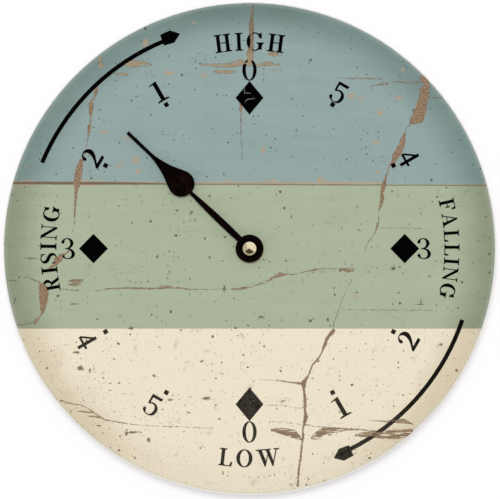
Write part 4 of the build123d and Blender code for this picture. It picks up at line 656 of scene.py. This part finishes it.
def make_print(settings):
    """The printed face: planks, specks, scratches, groove and splits."""
    mix, where = new_finish("printed planks")
    right, _, up = mix.axes(where)
    base = plank_colours(mix, where, settings)
    on_sand = up < settings.joint_low / MM
    on_sea = up > settings.joint_high / MM
    dark_fleck = mix.blend(on_sand, settings.fleck, settings.dust)
    patchy = mix.clouds(mix.shift(where, (17.0, 0.0, 5.0)), 0.06, 2.0)
    bunched = mix.clouds(mix.shift(where, (63.0, 0.0, 11.0)), 0.11, 2.0)

    damp = mix.clouds(mix.shift(where, (31.0, 0.0, 47.0)), 0.14, 4.0, 0.65)
    base = mix.blend(damp.ease(0.60, 0.78) * on_sand * 0.35, base, settings.dust)
    tan_stain = mix.blend(on_sea, settings.bare_tan, settings.rust_fleck)
    base = mix.blend(stains(mix, where, TAN_STAINS) * (on_sea * 0.35 + 0.3), base, tan_stain)
    base = mix.blend(stains(mix, where, DARK_STAINS) * 0.85, base, dark_fleck)
    rust = specks(mix, where, (3.0, 0.0, 8.0), cell=7.0, least=0.1, most=0.8, kept=0.5, wide=2.2)
    base = mix.blend(rust * on_sea * patchy.ease(0.42, 0.56) * 0.55, base, settings.rust_fleck)
    coarse = specks(mix, where, (0.0, 0.0, 0.0), cell=8.0, least=0.25, most=0.9, kept=0.5)
    base = mix.blend(coarse * 0.75, base, dark_fleck)
    small = specks(mix, where, (50.0, 0.0, 20.0), cell=2.9, least=0.18, most=0.55, kept=0.5)
    base = mix.blend(small * (bunched.ease(0.40, 0.58) * 0.8 + 0.3), base, dark_fleck)
    fine = specks(mix, where, (9.0, 0.0, 70.0), cell=1.4, least=0.15, most=0.34, kept=0.42)
    crowded = on_sand * (1.0 - right.ease(-80.0, 20.0))
    base = mix.blend(
        fine * (patchy.ease(0.42, 0.58) * (on_sand * 0.5 + 0.5) + on_sand * 0.3 + crowded * 0.6), base, dark_fleck,
    )
    scratches = hairs(mix, where, (5.0, 0.0, 33.0), pitch=9.0, width=0.010) * bunched.ease(0.60, 0.66)
    base = mix.blend(scratches * 0.3, base, dark_fleck)
    crazing = hairs(mix, where, (80.0, 0.0, 60.0), pitch=14.0, width=0.004) * patchy.ease(0.50, 0.60) * on_sand
    base = mix.blend(crazing * 0.2, base, settings.dust)

    dark, tan = groove(mix, where, settings)
    wood = bare_wood(mix, where, settings)
    base = mix.blend(tan * 0.7, base, mix.blend(0.55, wood, SHADES["joint wood"]))
    base = mix.blend(dark, base, SHADES["joint dark"])
    depth = all_splits(mix, where)
    lip = (1.0 - abs(depth + 0.05).ease(0.05, 0.32)) * mix.clouds(where, 0.5, 2.0).ease(0.34, 0.60) * 0.6
    base = mix.blend(depth.ease(-0.12, 0.14), base, wood)
    base = mix.blend(lip, base, SHADES["split lip"])
    tooth = mix.clouds(where, 2.6, 3.0, 0.6)
    return mix.finish(
        base, tooth * 0.12 + 0.56,
        Specular_IOR_Level=0.03,
        Normal=mix.relief(tooth * 0.3 - depth.ease(-0.3, 0.3) * 0.7, 0.03, 0.5),
    )


def make_ink(settings):
    """Black print, cut by the same splits and rubbed in the lower half."""
    mix, where = new_finish("scale ink")
    right, _, up = mix.axes(where)
    rubbed = up.ease(-20.0, -60.0) * (1.0 - right.ease(70.0, 95.0) * 0.75)
    grains = mix.clouds(where, 1.9, 4.0, 0.75)
    patches = mix.clouds(mix.shift(where, (5.0, 0.0, 31.0)), 0.35, 3.0, 0.6)
    worn = (grains.ease(0.46, 0.64) * 0.8 + 0.3) * rubbed * (patches.ease(0.30, 0.56) * 0.6 + 0.4)
    base = mix.blend(worn, settings.ink, settings.ink_worn)
    chips = specks(mix, where, (2.0, 0.0, 4.0), cell=2.0, least=0.05, most=0.4, kept=0.4)
    base = mix.blend(chips * (rubbed * 0.6 + 0.15), base, SHADES["ink chip"])
    scratch = split_depth(mix, up, right, UPRIGHT_SCRATCH)
    for points in LEVEL_SCRATCHES:
        scratch = scratch.most(split_depth(mix, right, up, points))
    base = mix.blend(scratch.ease(-0.12, 0.05) * 0.6, base, SHADES["ink scratch"])
    depth = all_splits(mix, where) - 0.55
    base = mix.blend(depth.ease(-0.1, 0.16), base, bare_wood(mix, where, settings))
    return mix.finish(
        base, grains * 0.2 + 0.5, Specular_IOR_Level=0.0, Normal=mix.relief(grains, 0.02, 0.4),
    )


def make_board(settings):
    """White primer on the front and the edge, bare pressed fibre on the back."""
    mix, where = new_finish("fibreboard")
    facing = mix.node("ShaderNodeSeparateXYZ", {}, mix.node("ShaderNodeNewGeometry").output("Normal")).output("Y")
    fibres = mix.clouds(where, 0.9, 5.0, 0.7)
    strands = mix.clouds(mix.stretch(where, 0.35, 1.0, 1.6), 1.4, 3.0, 0.6)
    back = mix.blend((fibres * 0.5 + strands * 0.5).ease(0.38, 0.62), settings.back, settings.back_dark)
    primer = mix.blend((fibres - 0.5) * 0.6, settings.edge, SHADES["primer shade"])
    bare = facing.ease(0.5, 0.8)
    return mix.finish(
        mix.blend(bare, primer, back), bare * 0.25 + 0.55,
        Specular_IOR_Level=0.3, Normal=mix.relief(fibres, 0.08, 0.5),
    )


def metal(name, base, rough, grain, spread, marks=0.4):
    """Metal with fine lines or a fine grain, and a little tarnish."""
    mix, where = new_finish(name)
    lines = mix.clouds(mix.stretch(where, *grain), 1.0, 3.0, 0.6)
    tarnish = mix.clouds(where, 0.35, 3.0, 0.6)
    shade = mix.blend(tarnish.ease(0.35, 0.75) * marks, base, tuple(channel * 0.62 for channel in base))
    return mix.finish(shade, lines * spread + rough, Metallic=1.0, Normal=mix.relief(lines, 0.01, 0.25))


def turned(name, base, rough):
    """Turned metal: fine rings, 0.14 mm apart, about the hand's axis."""
    mix, where = new_finish(name)
    right, deep, up = mix.axes(where)
    radius = (right * right + up * up) ** 0.5
    rings = ((radius + deep * 0.7) * (2.0 * math.pi / 0.14)).wave() * 0.5 + 0.5
    tarnish = mix.clouds(where, 0.5, 3.0, 0.6)
    shade = mix.blend(tarnish.ease(0.4, 0.8) * 0.35, base, tuple(channel * 0.66 for channel in base))
    return mix.finish(
        shade, rings * 0.08 + tarnish * 0.10 + rough, Metallic=1.0, Normal=mix.relief(rings, 0.004, 0.25),
    )


def moulded(name, base, rough, texture, depth, specular=0.4, **named):
    """Moulded plastic with the fine texture of its tool, and slight scuffs."""
    mix, where = new_finish(name)
    spark = mix.clouds(where, texture, 3.0, 0.7)
    scuffs = mix.clouds(mix.stretch(where, 1.0, 1.0, 3.0), 0.22, 4.0, 0.7)
    lighter = tuple(min(1.0, channel * 1.35 + 0.012) for channel in base)
    shade = mix.blend(scuffs.ease(0.52, 0.75) * 0.35, base, lighter)
    return mix.finish(
        shade, spark * 0.16 + scuffs * 0.10 + rough,
        Specular_IOR_Level=specular, Normal=mix.relief(spark, depth, 0.5), **named,
    )


def make_hand(settings):
    """Satin black lacquer over steel, thin and reddish on the rod and the bulb, with a painted reddish highlight round
    the edge of the hub.
    """
    mix, where = new_finish("hand lacquer")
    right, _, up = mix.axes(where)
    radius = (right * right + up * up) ** 0.5
    ripple = mix.clouds(where, 0.35, 3.0, 0.6)
    orange_peel = mix.clouds(where, 1.6, 2.0, 0.5)
    rod = radius.ease(12.0, 24.0) * (1.0 - radius.ease(50.0, 62.0))
    # Painted highlight: a lighter reddish ring round the hub's bevelled edge.
    hub_edge_highlight = radius.ease(5.4, 6.6) * (1.0 - radius.ease(7.8, 9.0))
    # thin mixes worn lacquer on the rod with the painted highlight on the hub's edge.
    thin = ripple.ease(0.40, 0.66) * (rod * 0.6 + 0.05) + hub_edge_highlight * 0.3
    return mix.finish(
        mix.blend(thin, settings.black, settings.worn), orange_peel * 0.10 + 0.34,
        Specular_IOR_Level=0.015, Normal=mix.relief(orange_peel, 0.01, 0.3),
    )


def make_nickel(settings):
    """Polished nickel: fine turned rings, hand marks, and painted shade that turns the lower side and the left darker
    brown.
    """
    mix, where = new_finish("polished nickel")
    right, _, up = mix.axes(where)
    radius = (right * right + up * up) ** 0.5
    rings = (radius * 42.0).wave() * 0.5 + 0.5
    smears = mix.clouds(where, 0.8, 3.0, 0.6)
    # Painted shade: below darkens the nut's lower side and beside its left side. The sum named tarnish is this painted
    # shade plus random smears.
    below = (up * -1.0 - abs(right + 0.2) * 0.6).ease(-0.8, 0.5) * (1.0 - radius.ease(2.2, 3.4) * 0.6)
    beside = (right * -1.0 - up * 0.3).ease(0.0, 2.0) * 0.45
    tarnish = below.most(beside) + smears.ease(0.45, 0.8) * 0.25
    return mix.finish(
        mix.blend(tarnish, settings.nickel, settings.nickel_painted_shade), smears * 0.12 + rings * 0.04 + 0.16,
        Metallic=1.0, Normal=mix.relief(rings, 0.003, 0.2),
    )


def make_winding(settings):
    """Enamelled wire: rows of fine copper, 0.16 mm apart, across the coil, with painted shade in the gaps between rows
    and painted glints.
    """
    mix, where = new_finish("enamelled wire")
    right, _, _ = mix.axes(where)
    rows = abs((right * (math.pi / 0.16)).wave())
    drift = mix.clouds(mix.stretch(where, 3.0, 0.4, 0.4), 0.6, 2.0)
    # Painted shade: darker copper in the gaps between the rows of wire.
    shade = mix.blend(rows * 0.7, SHADES["wire gap shade"], settings.copper)
    return mix.finish(
        mix.blend(drift.ease(0.45, 0.7) * 0.4, shade, SHADES["wire glint"]), 0.42 - rows * 0.12,
        Metallic=0.85, Coat_Weight=0.5, Coat_Roughness=0.18, Normal=mix.relief(rows, 0.05, 0.6),
    )


def make_circuit(settings):
    """Solder mask over copper tracks."""
    mix, where = new_finish("circuit board")
    right, _, up = mix.axes(where)
    cells = mix.node(
        "ShaderNodeTexVoronoi", {"distance": "CHEBYCHEV"}, mix.stretch(where, 1.0, 0.02, 1.0), Scale=0.36,
        Randomness=0.5,
    )
    tracks = 1.0 - abs((cells * 1.9 + up * 0.08).wave()).ease(0.18, 0.34)
    weave = (right * 9.0).wave() * (up * 9.0).wave()
    shade = mix.blend(tracks * 0.55, settings.mask, SHADES["track"])
    return mix.finish(
        shade, weave * 0.03 + 0.34, Coat_Weight=0.3, Coat_Roughness=0.2,
        Normal=mix.relief(tracks * 0.8 + weave * 0.1, 0.03, 0.5),
    )


def make_resin(settings):
    """A drop of black resin: smooth, with a few bubbles."""
    mix, where = new_finish("chip resin")
    bubbles = specks(mix, where, (0.0, 0.0, 0.0), cell=1.1, least=0.02, most=0.12, kept=0.4)
    flow = mix.clouds(where, 0.5, 2.0)
    return mix.finish(
        mix.blend(flow, settings.resin, SHADES["resin flow"]), flow * 0.1 + 0.18,
        Coat_Weight=0.4, Coat_Roughness=0.08, Normal=mix.relief(flow * 0.6 - bubbles, 0.05, 0.5),
    )


def make_jacket(settings):
    """Plain shrunk film round the cell: a dark body and a light band at the plus end."""
    mix, where = new_finish("cell jacket")
    right, _, _ = mix.axes(where)
    wrinkles = mix.clouds(mix.stretch(where, 2.2, 0.5, 0.5), 0.5, 3.0, 0.55)
    rubbed = mix.clouds(where, 0.9, 4.0, 0.7)
    shade = mix.blend((right - 12.5).ease(-0.15, 0.15), settings.jacket, settings.band)
    shade = mix.blend(rubbed.ease(0.6, 0.75) * 0.18, shade, SHADES["film rubbed"])
    return mix.finish(
        shade, rubbed * 0.12 + 0.24, Coat_Weight=0.5, Coat_Roughness=0.12, Normal=mix.relief(wrinkles, 0.06, 0.4),
    )


class PrintDial(bpy.types.Operator):
    """Print the painted planks and the scale, and finish the board"""
    bl_idname = "tide_clock.print_dial"
    bl_label = "Print the dial"

    def execute(self, context):
        settings = context.scene.tide_clock
        coat(make_print(settings.planks), "dial_print")
        coat(make_ink(settings.planks), "dial_numerals", "dial_markers", "dial_arrows", "dial_legends")
        coat(make_board(settings.board), "dial_board")
        return {"FINISHED"}


class LacquerHand(bpy.types.Operator):
    """Lacquer the hand and polish its nut"""
    bl_idname = "tide_clock.lacquer_hand"
    bl_label = "Lacquer the hand"

    def execute(self, context):
        settings = context.scene.tide_clock
        coat(make_hand(settings.hand), "tide_hand")
        coat(make_nickel(settings.hand), "cap_nut")
        return {"FINISHED"}


class PlateMetals(bpy.types.Operator):
    """Finish the steel and brass that clamp the movement and carry its wheels"""
    bl_idname = "tide_clock.plate_metals"
    bl_label = "Plate the metals"

    def execute(self, context):
        paint = context.scene.tide_clock.movement
        coat(turned("turned brass", paint.brass, 0.26), "hand_bush", "tide_arbor", "threaded_bush", "metal_washer")
        coat(metal("brushed brass", paint.brass, 0.28, (6.0, 6.0, 0.6), 0.16), "hex_nut", "clutch_collar")
        coat(metal("zinc plate", paint.steel, 0.30, (1.6, 1.6, 1.6), 0.22), "hanger", "motor_screws")
        coat(metal("motor steel", paint.steel, 0.34, (7.0, 1.0, 0.7), 0.18), "stator", "coil_core", "clutch_washer")
        coat(metal("spring steel", paint.spring, 0.22, (4.0, 4.0, 0.5), 0.16, 0.25), "plus_contact", "minus_contact")
        coat(metal("crystal can", paint.steel, 0.20, (2.0, 2.0, 0.3), 0.14, 0.2), "timing_crystal")
        return {"FINISHED"}


class MouldPlastics(bpy.types.Operator):
    """Finish the case, the bridge, the wheels and the other moulded parts"""
    bl_idname = "tide_clock.mould_plastics"
    bl_label = "Mould the plastics"

    def execute(self, context):
        paint = context.scene.tide_clock.movement
        coat(moulded("case plastic", paint.case, 0.44, 3.2, 0.05), "front_case", "back_cover")
        coat(moulded("knob plastic", paint.knob, 0.40, 2.4, 0.03), "set_knob")
        coat(moulded("washer rubber", paint.rubber, 0.62, 1.4, 0.06, 0.3), "rubber_washer")
        coat(moulded("bridge plastic", paint.bridge, 0.40, 2.2, 0.03), "train_bridge")
        coat(moulded("bobbin plastic", paint.bobbin, 0.36, 2.2, 0.02), "coil_bobbin")
        coat(
            moulded("acetal", paint.acetal, 0.32, 2.6, 0.015, 0.5, Subsurface_Weight=0.12),
            "tide_wheel", "minute_wheel", "centre_pinion", "centre_wheel", "third_wheel", "fourth_wheel",
            "fifth_wheel", "rotor_pinion",
        )
        return {"FINISHED"}


class WindMotor(bpy.types.Operator):
    """Finish the coil, the magnet and the electronics"""
    bl_idname = "tide_clock.wind_motor"
    bl_label = "Wind the motor"

    def execute(self, context):
        paint = context.scene.tide_clock.movement
        coat(make_winding(paint), "coil_winding")
        coat(make_circuit(paint), "circuit_board")
        coat(make_resin(paint), "chip_cover")
        coat(moulded("magnet", paint.magnet, 0.42, 4.5, 0.04, 0.6), "rotor_magnet")
        return {"FINISHED"}


class FitCell(bpy.types.Operator):
    """Finish the battery cell"""
    bl_idname = "tide_clock.fit_cell"
    bl_label = "Fit the cell"

    def execute(self, context):
        paint = context.scene.tide_clock.cell
        coat(metal("cell can", paint.can, 0.22, (2.0, 0.4, 0.4), 0.16, 0.2), "battery_can")
        coat(make_jacket(paint), "battery_jacket")
        coat(moulded("cell seal", paint.seal, 0.50, 2.4, 0.02), "battery_seal")
        return {"FINISHED"}


def flat_sheet(name, corners, material):
    """A flat sheet through four corners, part of the stage."""
    mesh = bpy.data.meshes.new(name)
    mesh.from_pydata(corners, [], [(0, 1, 2, 3)])
    sheet = bpy.data.objects.new(name, mesh)
    sheet.data.materials.append(material)
    bpy.context.scene.collection.objects.link(sheet)


def make_wall_paint(name, paint, lift):
    """Matt white paint for the camera in front of it alone: from behind, and for the light, it isn't there."""
    mix, where = new_finish(name)
    roller = mix.clouds(where, 0.02, 2.0)
    surface = mix.node(
        "ShaderNodeBsdfPrincipled", {},
        Base_Color=mix.blend(roller * 0.05, paint, SHADES["wall shade"]),
        Roughness=0.9, Specular_IOR_Level=0.0, Emission_Color=(1.0, 1.0, 1.0), Emission_Strength=lift,
    )
    seen = mix.node("ShaderNodeLightPath").output("Is Camera Ray")
    behind = mix.node("ShaderNodeNewGeometry").output("Backfacing")
    nothing = mix.node("ShaderNodeBsdfTransparent")
    cover = mix.node("ShaderNodeMixShader", {}, behind.most(1.0 - seen), surface, nothing)
    mix.node("ShaderNodeOutputMaterial", {}, cover)
    return mix.owner


def soft_lamp(name, watts, size, place):
    """A square lamp that faces the clock's axis, too broad to show in the gloss."""
    light = bpy.data.lights.new(name, "AREA")
    light.shape = "SQUARE"
    light.size = size
    light.energy = watts
    lamp = bpy.data.objects.new(name, light)
    lamp.location = place
    lamp.rotation_euler = lamp.location.to_track_quat("Z", "Y").to_euler()
    lamp.visible_glossy = False
    bpy.context.scene.collection.objects.link(lamp)


class HangOnWall(bpy.types.Operator):
    """Set up the wall, the floor, the room light, the soft lamp and the camera"""
    bl_idname = "tide_clock.hang_on_wall"
    bl_label = "Hang it on the wall"

    def execute(self, context):
        scene = context.scene
        settings = scene.tide_clock.wall
        side, low, gap = 3.0, -0.75, 0.0006
        wall_y = cad_box[1][1] + gap
        flat_sheet(
            "wall", [(-side, wall_y, low), (side, wall_y, low), (side, wall_y, side), (-side, wall_y, side)],
            make_wall_paint("wall paint", settings.paint, settings.lift),
        )
        flat_sheet(
            "floor", [(-side, -2 * side, low), (side, -2 * side, low), (side, wall_y, low), (-side, wall_y, low)],
            make_wall_paint("floor paint", settings.paint, settings.floor_lift),
        )
        self.light_room(scene, settings)
        self.place_camera(scene, settings)
        scene.view_settings.view_transform = "Standard"
        return {"FINISHED"}

    @staticmethod
    def light_room(scene, settings):
        """Even light from a room that looks white itself, a soft lamp in front and a weaker one behind."""
        room = bpy.data.worlds.new("room")
        scene.world = room
        mix = Mixer(room)
        rays = mix.node("ShaderNodeLightPath")
        white = rays.output("Is Camera Ray").most(rays.output("Is Glossy Ray")).most(rays.output("Is Transmission Ray"))
        shade = mix.blend(white, (settings.sky,) * 3, (1.0, 1.0, 1.0))
        mix.node("ShaderNodeOutputWorld", {}, mix.node("ShaderNodeBackground", {}, shade))
        front = (-settings.lamp_left, -settings.lamp_far, settings.lamp_up)
        rear = (0.3, settings.lamp_far, 0.4)
        soft_lamp("soft lamp", settings.lamp_watts, settings.lamp_size, front)
        soft_lamp("rear lamp", settings.rear_watts, settings.lamp_size, rear)

    @staticmethod
    def place_camera(scene, settings):
        """A camera that looks straight at the dial."""
        view = bpy.data.cameras.new("front")
        view.lens = settings.lens
        view.sensor_width = 36.0
        view.clip_start = 0.01
        view.clip_end = 50.0
        camera = bpy.data.objects.new("front", view)
        dial_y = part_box("dial_print")[0][1]
        across, up = 0.00027, -0.00049
        camera.location = (across, dial_y - settings.view_far, up)
        camera.rotation_euler = (math.radians(90.0), 0.0, 0.0)
        scene.collection.objects.link(camera)
        scene.camera = camera


class TideClockPanel(bpy.types.Panel):
    """The steps that finish the clock, in order"""
    bl_idname = "VIEW3D_PT_tide_clock"
    bl_label = "Tide clock"
    bl_space_type = "VIEW_3D"
    bl_region_type = "UI"
    bl_category = "Tide clock"

    def draw(self, context):
        for step in STEPS:
            self.layout.operator(step.bl_idname)


GROUPS = (PlankPaint, BoardPaint, HandPaint, MovementPaint, CellPaint, WallPaint, TideClock)
STEPS = (PrintDial, LacquerHand, PlateMetals, MouldPlastics, WindMotor, FitCell, HangOnWall)


def register():
    for item in (*GROUPS, *STEPS, TideClockPanel):
        bpy.utils.register_class(item)
    bpy.types.Scene.tide_clock = bpy.props.PointerProperty(type=TideClock)


def unregister():
    del bpy.types.Scene.tide_clock
    for item in reversed((*GROUPS, *STEPS, TideClockPanel)):
        bpy.utils.unregister_class(item)


def main():
    register()
    bpy.ops.tide_clock.print_dial()
    bpy.ops.tide_clock.lacquer_hand()
    bpy.ops.tide_clock.plate_metals()
    bpy.ops.tide_clock.mould_plastics()
    bpy.ops.tide_clock.wind_motor()
    bpy.ops.tide_clock.fit_cell()
    bpy.ops.tide_clock.hang_on_wall()


if __name__ == "__main__":
    main()
